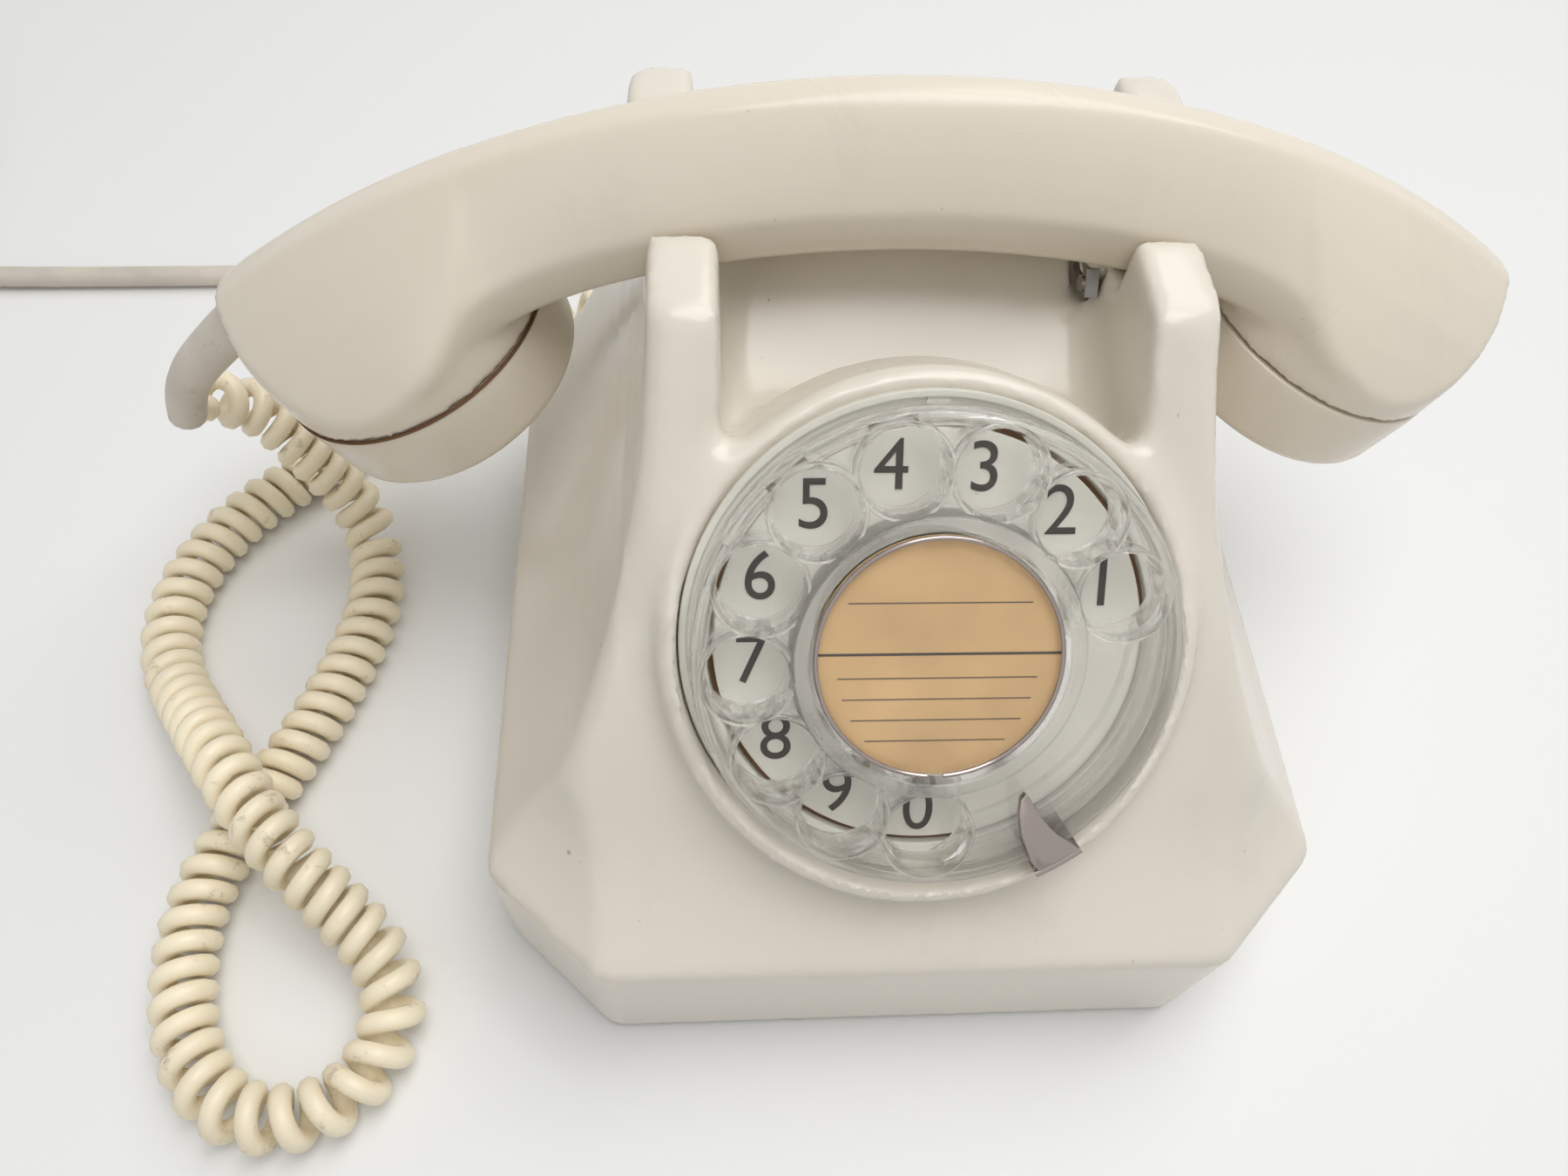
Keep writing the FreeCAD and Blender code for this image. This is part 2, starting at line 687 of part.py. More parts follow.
    turn = math.radians(v.pulse_angle - 40)
    reach = v.back_radius - v.contact_long
    x, y = reach * math.cos(turn), reach * math.sin(turn)
    contact_spot = on_dial(x - v.contact_long / 2, y - v.contact_long / 2, back)
    contacts = block("contact_block", contact_spot, "contact_long", "contact_long", "contact_high")
    part(contacts, "pulse_contacts")
    screws = []
    for angle in (90, 210, 330):
        turn = math.radians(angle)
        reach = (v.number_edge + v.wheel_radius + v.well_gap - v.flange_gap) / 2
        spot = on_dial(reach * math.cos(turn), reach * math.sin(turn), front)
        screws.append(rod(f"dial_screw_{angle}", spot, "dial_screw", "number_thick"))
    part(group("dial_screws", screws), "dial_screws")


def make_finger_stop():
    """A chromed fin over the edge of the wheel, on a leg that stands on the dial frame."""
    leg_in = v.wheel_radius + v.well_gap - v.flange_gap - v.stop_thick
    leg_out = leg_in + v.stop_thick
    foot = -v.number_deep - v.number_thick
    top = v.stop_over + v.stop_thick
    half = v.stop_width / 2
    fin_points = [(leg_out - 0.05, half, v.stop_over), (leg_out - 0.05, -half, v.stop_over),
                  (v.hole_circle, -half + 1, v.stop_over), (v.hole_circle - 1, -half + 2, v.stop_over),
                  (v.hole_circle + 4, -half + 5.5, v.stop_over)]
    fin = prism(fin_points, Vector(0, 0, v.stop_thick))
    ring = Part.makeCylinder(leg_out, top - foot, Vector(0, 0, foot))
    ring = ring.cut(Part.makeCylinder(leg_in, top - foot, Vector(0, 0, foot)))
    leg = ring.common(Part.makeBox(leg_out, v.stop_width, top - foot, Vector(0, -half, foot)))
    disc = Part.makeCylinder(leg_out, top - foot, Vector(0, 0, foot))
    stop = fin.common(disc).fuse(leg).removeSplitter()
    part(drawn("finger_stop", stop, on_dial(0, 0, 0, Rotation(Z_AXIS, -v.stop_angle))), "finger_stop")


def head_axis(side):
    """Centre of a handset head's seam and the way its cap faces, before the handset slides."""
    tilt = math.radians(v.head_tilt)
    centre = Vector(side * v.head_reach, v.cradle_y, v.head_height)
    return centre, Vector(-side * math.sin(tilt), 0, -math.cos(tilt))


def head_place(side, along):
    """A frame on a head's axis whose z runs from the cap into the head."""
    centre, facing = head_axis(side)
    return SLIP.multiply(Placement(centre - facing * along, Rotation(Z_AXIS, -facing)))


def bow_section(angle, half, low):
    """One section across the bow: a narrow ridge, a roof that falls to full sides and a rounded underside."""
    high = v.arch_radius
    belly = high - max(0.58 * v.handle_high, v.roof_fall * half)
    turn = Rotation(Y_AXIS, math.degrees(angle))

    def spot(radius, y):
        return ARCH + turn.multVec(Vector(0, y, radius))

    ridge, foot = v.ridge_half, 0.72 * half
    shoulder = (half - ridge) * 0.54 + ridge
    drop = (high - belly) * 0.43
    flank = (belly - low) * 0.45
    right = [Part.Arc(spot(high, ridge), spot(high - drop, shoulder), spot(belly, half)),
             Part.Arc(spot(belly, half), spot(belly - flank, half * 0.975), spot(low, foot))]
    left = [Part.Arc(spot(low, -foot), spot(belly - flank, -half * 0.975), spot(belly, -half)),
            Part.Arc(spot(belly, -half), spot(high - drop, -shoulder), spot(high, -ridge))]
    curves = [Part.LineSegment(spot(high, -ridge), spot(high, ridge))] + right
    curves += [Part.LineSegment(spot(low, foot), spot(low, -foot))] + left
    return Part.Wire([c.toShape() for c in curves])


def bow(reach, half, low):
    """A bow of one section, as far as a reach to either side."""
    angle = reach / v.arch_radius
    face = Part.Face(bow_section(-angle, half, low))
    return face.revolve(ARCH, Y_AXIS, 2 * math.degrees(angle))


# Middle line of the rubber boot that leads the curly cord out of the handset's left head.
BOOT_ROUTE = [(-121.5, 114, 89.5), (-133.5, 114, 75.7), (-142.8, 114.6, 62.0), (-145.6, 115.5, 53.7)]


def make_handset():
    # A slim grip runs into two round heads, with a smaller round shoulder where it swells into each head.
    deep = v.arch_radius - 2.6 * v.head_radius
    form = bow(v.head_reach, v.handle_half, UNDER_RADIUS)
    wide = bow(1.8 * v.head_reach, v.head_radius + v.seam_gap, deep)
    middle = bow(1.8 * v.head_reach, v.shoulder_radius + v.seam_gap, deep)
    for side in (-1, 1):
        centre, facing = head_axis(side)
        cap_room = Part.makeCylinder(v.head_radius + v.seam_gap, v.cap_high + v.seam_gap, centre, facing)
        head = Part.makeCylinder(v.head_radius, 3 * v.head_radius, centre, facing * -1)
        form = form.cut(cap_room).fuse(head.common(wide))
        inward = Vector(facing.z, 0, -facing.x) * (side * v.shoulder_inward)
        neck = Part.makeCylinder(v.shoulder_radius, 3 * v.head_radius, centre + inward, facing * -1)
        form = form.fuse(neck.common(middle))
    shell = drawn("handset_form", form)
    shell.Placement = SLIP
    tools = []
    for side, tag in ((-1, "mouth"), (1, "ear")):
        start = head_place(side, -v.wall)
        tools.append(rod(tag + "_chamber", start, "head_radius - wall", "chamber_deep + wall"))
    bore = solid("Torus", "wire_bore", SLIP.multiply(Placement(ARCH, Rotation(X_AXIS, 90))),
                 Radius1="arch_radius - handle_high / 2", Radius2="wire_bore")
    span = math.degrees(v.head_reach / v.arch_radius) * 0.8
    swing = Rotation(X_AXIS, 90).multiply(Rotation(Z_AXIS, 90 - span))
    bore.Placement = SLIP.multiply(Placement(ARCH, swing))
    bore.Angle3 = 2 * span
    way = Vector(*BOOT_ROUTE[1]) - Vector(*BOOT_ROUTE[0])
    seat = Placement(Vector(*BOOT_ROUTE[0]), Rotation(Z_AXIS, way))
    boot_hole = rod("boot_hole", seat, "boot_radius + run_gap", "4 * boot_radius")
    part(cut("handset_shell", shell, tools + [bore, boot_hole]), "handset_shell")
    curves, radii = rounded_run(BOOT_ROUTE)
    part(drawn("cord_boot", tube(curves, 2 * v.boot_radius)[0]), "cord_boot")

    for side, tag, capsule, high in ((-1, "mouthpiece", "transmitter", "transmitter_high"),
                                     (1, "earpiece", "receiver", "receiver_high")):
        face = -v.cap_high - v.seam_gap
        outer = rod(tag + "_outer", at(0, 0, face), "head_radius", "cap_high")
        neck = rod(tag + "_neck", at(0, 0, face), "head_radius - wall - capsule_gap",
                   "cap_high + seam_gap + spigot_high")
        inner = rod(tag + "_inner", at(0, 0, face + v.cap_wall),
                    "head_radius - wall - capsule_gap - spigot_wall", "cap_high + spigot_high")
        form = fuse(tag + "_form", [outer, neck])
        doc.recompute()
        around = 2 * math.pi * v.head_radius
        edge = next(i for i, e in enumerate(form.Shape.Edges, start=1)
                    if abs(e.BoundBox.ZMax - face) < 1e-6 and abs(e.Length - around) < 0.1)
        smooth = doc.addObject("Part::Fillet", tag + "_smooth")
        smooth.Base = form
        smooth.Edges = [(edge, v.cap_edge, v.cap_edge)]
        holes = [rod(tag + "_hole", at(0, 0, face), "sound_hole", "2 * cap_wall")]
        for index in range(6):
            turn = math.radians(60 * index)
            spot = at(v.sound_circle * math.cos(turn), v.sound_circle * math.sin(turn), face)
            holes.append(rod(f"{tag}_hole_{index}", spot, "sound_hole", "2 * cap_wall"))
        cap = cut(tag + "_cap", smooth, [inner] + holes)
        cap.Placement = head_place(side, 0)
        part(cap, tag + "_cap")
        seat = face + v.cap_wall
        part(rod(capsule, head_place(side, seat),
                 "head_radius - wall - spigot_wall - 2 * capsule_gap", high), capsule)


# The cradle bar lies square to the bow, just under the handset's grip.
BAR_ANGLE = math.asin((HORN_INNER + v.horn_width * 0.62) / UNDER_RADIUS)
BAR_RADIUS = UNDER_RADIUS - v.bar_gap - v.bar_radius
BAR_CENTRE = Vector(math.sin(BAR_ANGLE) * BAR_RADIUS, v.bar_y, ARCH.z + math.cos(BAR_ANGLE) * BAR_RADIUS)


def make_hook():
    """The cradle switch: a bar across the right saddle on a hinged arm, and a screwed tab inside the horn."""
    along = Rotation(Y_AXIS, 90 + math.degrees(BAR_ANGLE))
    start = BAR_CENTRE - along.multVec(Vector(0, 0, v.bar_long / 2))
    part(rod("hook_bar", Placement(start, along), "bar_radius", "bar_long"), "hook_bar")

    x = BAR_CENTRE.x - v.arm_thick / 2
    sideways = Rotation(Y_AXIS, 90)
    eye = rod("arm_eye", at(x, v.pivot_y, v.pivot_z, sideways), "arm_eye", "arm_thick")
    nose = rod("arm_nose", at(x, v.bar_y, BAR_CENTRE.z, sideways), "bar_radius", "arm_thick")
    way = Vector(0, v.bar_y - v.pivot_y, BAR_CENTRE.z - v.pivot_z)
    lean = math.degrees(math.atan2(way.z, way.y))
    web = block("arm_web", Placement(Vector(x, v.pivot_y, v.pivot_z), Rotation(X_AXIS, lean))
                .multiply(at(0, 0, -v.pin_radius)), "arm_thick", f"{way.Length}", "2 * pin_radius")
    bar_hole = rod("arm_bar_hole", Placement(start, along), "bar_radius + run_gap", "bar_long")
    hole_spot = at(x - 1, v.pivot_y, v.pivot_z, sideways)
    pin_hole = rod("arm_pin_hole", hole_spot, "pin_radius + run_gap", "arm_thick + 2")
    part(cut("hook_lever", fuse("arm_form", [eye, nose, web]), [bar_hole, pin_hole]), "hook_lever")
    pin = at(HORN_INNER, v.pivot_y, v.pivot_z, sideways)
    part(rod("hook_pin", pin, "pin_radius", "horn_width"), "hook_pin")

    tab_x = HORN_INNER - v.slot_gap - v.tab_thick
    y, z = v.bar_y, BAR_CENTRE.z
    points = [(tab_x, y + 3.2, z + 1.6), (tab_x, y - 3.2, z + 2.6), (tab_x, y - 6.4, z - 1.2),
              (tab_x, y - 5.4, z - 2.1), (tab_x, y - 2, z - 2.3), (tab_x, y + 3.2, z - 2.6)]
    tab = drawn("tab_plate", prism(points, Vector(v.tab_thick, 0, 0)))
    bore = rod("tab_bore", Placement(start, along), "bar_radius + run_gap", "bar_long")
    part(cut("hook_tab", tab, [bore]), "hook_tab")
    screw = at(tab_x - v.tab_screw_high, y + v.tab_screw_back, z, sideways)
    part(rod("hook_screw", screw, "tab_screw", "tab_screw_high"), "hook_screw")


def make_bell():
    low = v.ringer_thick
    plate = block("ringer_plate", at(-v.ringer_half, v.ringer_y, PLATE_TOP), "2 * ringer_half", "ringer_long",
                  "ringer_thick")
    hole = rod("clapper_pin_hole", at(0, v.clapper_y, PLATE_TOP - 1), "pivot_radius", "2 * ringer_thick")
    part(cut("ringer_frame", plate, [hole]), "ringer_frame")
    coils = []
    posts = []
    screws = []
    for side, tag in ((-1, "left"), (1, "right")):
        coil_spot = at(side * v.coil_reach, v.ringer_y + v.coil_radius + 1, PLATE_TOP + low)
        flange_top = at(coil_spot.Base.x, coil_spot.Base.y, PLATE_TOP + low + v.coil_high)
        winding = rod("winding_" + tag, coil_spot, "coil_radius", "coil_high")
        yoke = rod("core_" + tag, flange_top, "coil_radius / 2", "ringer_thick")
        coils.append(fuse("ringer_coil_" + tag, [winding, yoke]))
        spot = at(side * v.gong_reach, v.gong_y, v.gong_z)
        bell = rod("bell_" + tag, spot, "gong_radius", "gong_high")
        doc.recompute()
        rounded = doc.addObject("Part::Fillet", "bell_round_" + tag)
        rounded.Base = bell
        edge = next(i for i, e in enumerate(bell.Shape.Edges, start=1)
                    if abs(e.BoundBox.ZMin - v.gong_z - v.gong_high) < 1e-6 and e.Length > 1)
        rounded.Edges = [(edge, v.gong_high * 0.6, v.gong_high * 0.6)]
        hollow = rod("bell_hollow_" + tag, spot, "gong_radius - gong_wall", "gong_high - gong_wall")
        doc.recompute()
        hollow_round = doc.addObject("Part::Fillet", "hollow_round_" + tag)
        hollow_round.Base = hollow
        edge = next(i for i, e in enumerate(hollow.Shape.Edges, start=1)
                    if abs(e.BoundBox.ZMin - v.gong_z - v.gong_high + v.gong_wall) < 1e-6 and e.Length > 1)
        hollow_round.Edges = [(edge, v.gong_high * 0.5, v.gong_high * 0.5)]
        eye = rod("bell_eye_" + tag, spot, "screw_radius + screw_gap", "2 * gong_high")
        part(cut("gong_" + tag, rounded, [hollow_round, eye]), "gong_" + tag)
        posts.append(rod("gong_post_" + tag, at(spot.Base.x, v.gong_y, PLATE_TOP), "gong_post",
                         "gong_z + gong_high - gong_wall - foot_height - plate_thick"))
        top = at(spot.Base.x, v.gong_y, v.gong_z + v.gong_high)
        screws.append(rod("gong_screw_" + tag, top, "screw_head", "screw_head_high"))
    part(group("ringer_coils", coils), "ringer_coils")
    part(group("gong_posts", posts), "gong_posts")
    part(group("gong_screws", screws), "gong_screws")

    hub = rod("clapper_hub", at(0, v.clapper_y, v.clapper_z), "clapper_eye", "clapper_high")
    arm_z = v.clapper_z + (v.clapper_high - v.clapper_arm) / 2
    arm_spot = at(-v.clapper_arm / 2, v.clapper_y, arm_z)
    arm = block("clapper_bar", arm_spot, "clapper_arm", "gong_y - clapper_y", "clapper_arm")
    ball_spot = at(0, v.gong_y, v.clapper_z + v.clapper_high / 2)
    ball = solid("Sphere", "clapper_ball", ball_spot, Radius="ball_radius")
    bore_spot = at(0, v.clapper_y, v.clapper_z - 1)
    bore = rod("clapper_bore", bore_spot, "pivot_radius + run_gap", "2 * clapper_high")
    part(cut("clapper", fuse("clapper_form", [hub, arm, ball]), [bore]), "clapper")
    post = rod("clapper_post", at(0, v.clapper_y, PLATE_TOP + low), "clapper_eye",
               "clapper_z - foot_height - plate_thick - ringer_thick - rest_gap")
    pin = rod("clapper_axle", at(0, v.clapper_y, PLATE_TOP), "pivot_radius",
              "clapper_z + clapper_high - foot_height - plate_thick + rest_gap")
    part(fuse("clapper_pin", [post, pin]), "clapper_pin")


def make_circuit():
    low = PLATE_TOP
    x = v.coil_reach + v.ringer_half
    part(block("capacitor", at(x + 4, v.ringer_y - v.capacitor_long, low), "capacitor_wide", "capacitor_long",
               "capacitor_high"), "capacitor")
    core = at(-x - 4 - v.induction_wide, v.ringer_y - v.induction_long, low)
    iron = block("induction_core", core, "induction_wide", "induction_long", "induction_high")
    winding_spot = at(core.Base.x + v.induction_wide / 2, core.Base.y - 3, low + v.induction_high / 2,
                      Rotation(X_AXIS, -90))
    winding = rod("induction_winding", winding_spot, "induction_high / 2", "induction_long + 6")
    part(fuse("induction_coil", [iron, winding]), "induction_coil")

    strip = at(-v.strip_long / 2, v.depth - 3 * v.wall - 2 * v.strip_wide, low)
    part(block("terminal_strip", strip, "strip_long", "strip_wide", "strip_high"), "terminal_strip")
    screws = []
    count = 5
    for index in range(count):
        spot = at(strip.Base.x + v.strip_long * (index + 0.5) / count, strip.Base.y + v.strip_wide / 2,
                  low + v.strip_high)
        screws.append(rod(f"terminal_screw_{index}", spot, "terminal_radius", "terminal_high"))
    part(group("terminal_screws", screws), "terminal_screws")

    base = at(v.gong_reach + v.gong_radius + 4, v.ringer_y + 4, low)
    part(block("switch_block", base, "blade_wide + 4", "blade_long / 2", "block_high"), "switch_block")
    blades = []
    for index in range(3):
        spot = at(base.Base.x + 2, base.Base.y, low + v.block_high + index * 4 * v.blade_thick)
        blade = block(f"blade_{index}", spot, "blade_wide", "blade_long", "blade_thick")
        pad_spot = at(base.Base.x + 2, base.Base.y, spot.Base.z + v.blade_thick)
        pad = block(f"blade_pad_{index}", pad_spot, "blade_wide",
                    "blade_long / 3", "3 * blade_thick")
        blades.append(fuse(f"contact_blade_{index}", [blade, pad]))
    part(group("contact_springs", blades), "contact_springs")


def spline_through(points):
    """The smooth line of a cord: a quadratic spline with the route's points as its control points."""
    poles = [Vector(*p) for p in points]
    inner = len(poles) - 3
    knots = [k / (inner + 1) for k in range(inner + 2)]
    line = Part.BSplineCurve()
    line.buildFromPolesMultsKnots(poles, [3] + [1] * inner + [3], knots, False, 2)
    return line


def biarc(start, leave, end, arrive):
    """Two arcs from one point and direction to another, joined smoothly."""
    chord = end - start
    both = leave + arrive
    bend = 2 * (1 - leave.dot(arrive))
    lean = chord.dot(both)
    if bend < 1e-9:
        reach = chord.dot(chord) / (2 * lean)
    else:
        reach = (math.sqrt(lean ** 2 + bend * chord.dot(chord)) - lean) / bend
    first = start + leave * reach
    second = end - arrive * reach
    middle = (first + second) * 0.5
    return [arc_with(start, first, middle), arc_with(middle, second, end)]


def arc_with(start, apex, end):
    """The arc between two points whose tangents meet at the apex."""
    half = (end - start) * 0.5
    middle = start + half
    rise = apex - middle
    if rise.Length < 1e-7:
        return Part.LineSegment(start, end)
    turn = math.atan2(rise.Length, half.Length)
    return Part.Arc(start, middle + rise * (half.Length * math.tan(turn / 2) / rise.Length), end)


def rounded_run(route):
    """Straight runs between the points of a route, joined by arcs, and the radii of the arcs."""
    points = [Vector(*p) for p in route]
    curves = []
    radii = []
    here = points[0]
    for before, corner, after in zip(points, points[1:], points[2:]):
        into = (corner - before).normalize()
        out = (after - corner).normalize()
        leg = 0.45 * min((corner - before).Length, (after - corner).Length)
        radii.append(leg / math.tan(into.getAngle(out) / 2))
        curves.append(Part.LineSegment(here, corner - into * leg))
        curves.append(arc_with(corner - into * leg, corner, corner + out * leg))
        here = corner + out * leg
    curves.append(Part.LineSegment(here, points[-1]))
    return curves, radii


def tube(curves, wire):
    """Sweep a round wire along curves that join smoothly."""
    path = Part.Wire([c.toShape() for c in curves])
    first = curves[0]
    start = first.value(first.FirstParameter)
    ring = Part.Wire([Part.Circle(start, first.tangent(first.FirstParameter)[0], wire / 2).toShape()])
    shell = Part.BRepOffsetAPI.MakePipeShell(path)
    shell.add(ring, False, False)
    shell.build()
    shell.makeSolid()
    return shell.shape(), path.Length


def least_gap(points, spacing, wire):
    """Least distance between parts of a wound line that lie further apart along it than they do across."""
    cell = 3 * wire
    near = {}
    for index, p in enumerate(points):
        near.setdefault((int(p.x // cell), int(p.y // cell), int(p.z // cell)), []).append(index)
    best = cell
    skip = int(2.2 * wire / spacing)
    for (a, b, c), home in near.items():
        others = [j for i in (-1, 0, 1) for k in (-1, 0, 1) for m in (-1, 0, 1)
                  for j in near.get((a + i, b + k, c + m), ())]
        for i in home:
            for j in others:
                if j - i > skip:
                    best = min(best, (points[i] - points[j]).Length)
    return best - wire


def wound_tube(name, samples, ends, wire):
    """A tube through points and directions of a wound line, with straight ends."""
    curves = [Part.LineSegment(ends[0], samples[0][0])]
    for (a, ta), (b, tb) in zip(samples, samples[1:]):
        curves += biarc(a, ta, b, tb)
    curves.append(Part.LineSegment(samples[-1][0], ends[1]))
    shape, length = tube(curves, wire)
    spacing = 0.5
    points = Part.Wire([c.toShape() for c in curves]).discretize(Distance=spacing)
    ideal = math.pi * wire ** 2 / 4 * length
    print(f"{name}: wire {length:.1f} mm, least gap to itself {least_gap(points, spacing, wire):.2f} mm, "
          f"volume {shape.Volume / ideal:.4f} of section times length")
    return shape


# Route of the curly cord's middle line: from the handset's boot, down to the table, round its two loops with
# one crossing, and behind the housing to the gland.
CURLY_ROUTE = [
    (-146, 116, 51), (-146, 122, 48.5), (-142.5, 127.5, 43.5), (-137, 129, 37), (-131.5, 126.5, 29.8),
    (-126, 123.3, 22.3), (-121.5, 120.5, 14.8), (-118, 115, 8.6), (-116, 107, 6.6), (-114.8, 96.5, 6.6),
    (-117.5, 82.5, 6.6), (-124, 64, 6.6), (-131, 50, 6.6), (-138, 35.5, 6.6), (-140.8, 22.5, 6.6),
    (-140, 9, 6.6),
    (-136, -4, 6.6), (-127.5, -14, 6.6), (-116.5, -16.5, 6.6), (-104.5, -12.5, 6.6), (-97.5, 0, 6.8),
    (-100.5, 12, 9), (-109, 20.5, 13.5), (-119, 29, 19.4), (-129, 40.5, 21.4), (-137.5, 52, 20),
    (-146.5, 63.5, 13.5), (-155, 74.5, 8.4), (-160, 86, 6.6), (-160.2, 99, 6.6), (-157, 110, 6.6),
    (-151.5, 120, 6.6), (-143.5, 129, 6.6), (-134, 137, 6.6), (-124.5, 147.5, 6.6), (-115, 160, 6.6),
    (-104, 173, 6.6), (-90, 185, 6.6), (-73, 191.5, 6.9),
    (-56, 191, 8), (-46.5, 184, 9.4), (-46, 176, 9.5)]


def make_curly_cord():
    """One wire curled about the smooth line of its route, drawn out along the stretch behind the housing."""
    line = spline_through(CURLY_ROUTE)
    steps = 4000
    stations = [line.value(line.FirstParameter + (line.LastParameter - line.FirstParameter) * i / steps)
                for i in range(steps + 1)]
    runs = [0.0]
    for a, b in zip(stations, stations[1:]):
        runs.append(runs[-1] + (b - a).Length)
    total = runs[-1]
    tangents = [(b - a).normalize() for a, b in zip(stations, stations[1:])]
    tangents.append(tangents[-1])
    # A frame that turns as little as it can along the line.
    across = tangents[0].cross(X_AXIS).normalize()
    frames = []
    for tangent in tangents:
        across = (across - tangent * across.dot(tangent)).normalize()
        frames.append((across, tangent.cross(across)))
    straight = v.curly_wire
    lead = v.curl_spacing * 1.5
    coil_radius = (v.curly_outer - v.curly_wire) / 2

    window = 20

    def pitch(index):
        """Room along the line for one curl, so that the curls keep their spacing on the inside of a bend."""
        low, high = max(0, index - window), min(steps, index + window)
        bend = tangents[low].getAngle(tangents[high]) / (runs[high] - runs[low])
        share = min(1.0, max(0.0, (runs[index] - v.tail_start) / v.tail_blend))
        return v.curl_spacing / (1 - coil_radius * bend) * (1 + (v.tail_stretch - 1) * share)

    def swell(run):
        share = min(1.0, max(0.0, (min(run, total - run) - straight) / lead))
        return coil_radius * share * share * (3 - 2 * share)

    turns = [0.0]
    for index in range(steps):
        turning = straight < runs[index] < total - straight
        turns.append(turns[-1] + turning * (runs[index + 1] - runs[index]) / pitch(index))

    def helix(index):
        side, up = frames[index]
        angle = 2 * math.pi * turns[index]
        reach = swell(runs[index])
        return stations[index] + side * (reach * math.cos(angle)) + up * (reach * math.sin(angle))

    first = next(i for i, run in enumerate(runs) if run >= straight)
    last = max(i for i, run in enumerate(runs) if run <= total - straight)
    count = round(2 * turns[-1])
    picks = [first]
    index = first
    for half_turn in range(1, count):
        while turns[index] < turns[-1] * half_turn / count:
            index += 1
        picks.append(index)
    picks.append(last)
    samples = []
    for index in picks:
        ahead = helix(min(index + 1, steps)) - helix(max(index - 1, 0))
        if index in (first, last):
            ahead = tangents[index]
        samples.append((helix(index), Vector(ahead).normalize()))
    samples[0] = (stations[0] + tangents[0] * straight, tangents[0])
    samples[-1] = (stations[-1] - tangents[-1] * straight, tangents[-1])
    print(f"curly cord: line {total:.1f} mm, {turns[-1]:.1f} curls")
    shape = wound_tube("curly cord", samples, (stations[0], stations[-1]), v.curly_wire)
    part(drawn("curly_cord", shape), "curly_cord")


# Route of the line cord: out of its gland behind the housing, and along the table to the put-away coil.
LINE_ROUTE = [
    (-10, 176.3, 9.5), (-10, 189.5, 8.6), (-18, 201.5, 5.4), (-31.5, 207.4, 3.2), (-52, 209.8, 2.9),
    (-88, 210.8, 2.9), (-136, 210.2, 2.9), (-184, 208.6, 2.9), (-230, 207.4, 3.1), (-266, 207.05, 3.8),
    (-294.4, 207.1, 4),
]
COIL_MIDDLE = (-300.0, 250.5)


def make_line_cord():
    curves, radii = rounded_run(LINE_ROUTE)
    shape, length = tube(curves, v.line_wire)
    ideal = math.pi * v.line_wire ** 2 / 4 * length
    print(f"line cord: run {length:.1f} mm, volume {shape.Volume / ideal:.4f} of section times length, "
          f"radii {', '.join(f'{r:.0f}' for r in radii)} mm")
    part(drawn("line_cord", shape), "line_cord")


def coil_spot(turn):
    """A point of the put-away coil: in along the lower layer, up a layer where it reverses, and out again."""
    half = v.coil_turns / 2
    radius = v.coil_inner + v.line_step * abs(turn - half)
    climb = 0.25
    share = min(1.0, max(0.0, (turn - half + climb) / (2 * climb)))
    level = share * share * (3 - 2 * share)
    angle = -2 * math.pi * (turn + 0.25)
    x, y = COIL_MIDDLE
    low = v.coil_lift + v.line_wire / 2
    return Vector(x + radius * math.cos(angle), y + radius * math.sin(angle), low + level * v.line_step)


def make_coil():
    """The put-away length of the line cord, its tie and its plug."""
    wire = v.line_wire
    tiny = 1e-4
    samples = []
    for quarter in range(int(4 * v.coil_turns) + 1):
        turn = quarter / 4
        ahead = coil_spot(turn + tiny) - coil_spot(turn - tiny)
        samples.append((coil_spot(turn), ahead.normalize()))
    samples[0] = (samples[0][0], Vector(-1, 0, 0))
    samples[-1] = (samples[-1][0], Vector(-1, 0, 0))
    start, end = samples[0][0], samples[-1][0]
    ends = (start + Vector(wire, 0, 0), end - Vector(v.coil_tail, 0, 0))
    shape = wound_tube("line cord coil", samples, ends, wire)
    part(drawn("line_cord_coil", shape), "line_cord_coil")

    plug_end = ends[1]
    out = Rotation(Y_AXIS, -90)
    barrel = rod("plug_barrel", Placement(plug_end, out),
                 "coil_lift + line_wire / 2 + line_step", "plug_long")
    part(barrel, "plug_body")
    pins = []
    for side in (-1, 1):
        spot = Placement(plug_end + Vector(-v.plug_long, side * v.plug_spread, 0), out)
        pins.append(rod(f"plug_pin_{'back' if side > 0 else 'front'}", spot, "plug_pin", "pin_long"))
    part(group("plug_pins", pins), "plug_pins")

    slack = 3 * v.tie_gap
    inner = v.coil_inner - wire / 2 - slack
    long = v.line_step * v.coil_turns / 2 + wire + 2 * slack
    high = v.line_step + wire + 2 * v.tie_gap
    thick = v.tie_thick
    spot = Placement(Vector(*COIL_MIDDLE, 0), Rotation(Z_AXIS, v.tie_angle))
    floor = v.coil_lift - v.tie_gap
    band = Part.makeBox(long + 2 * thick, v.tie_wide, high + 2 * thick,
                        Vector(inner - thick, -v.tie_wide / 2, floor - thick))
    band = band.cut(Part.makeBox(long, v.tie_wide, high, Vector(inner, -v.tie_wide / 2, floor)))
    part(drawn("coil_tie", band, spot), "coil_tie")


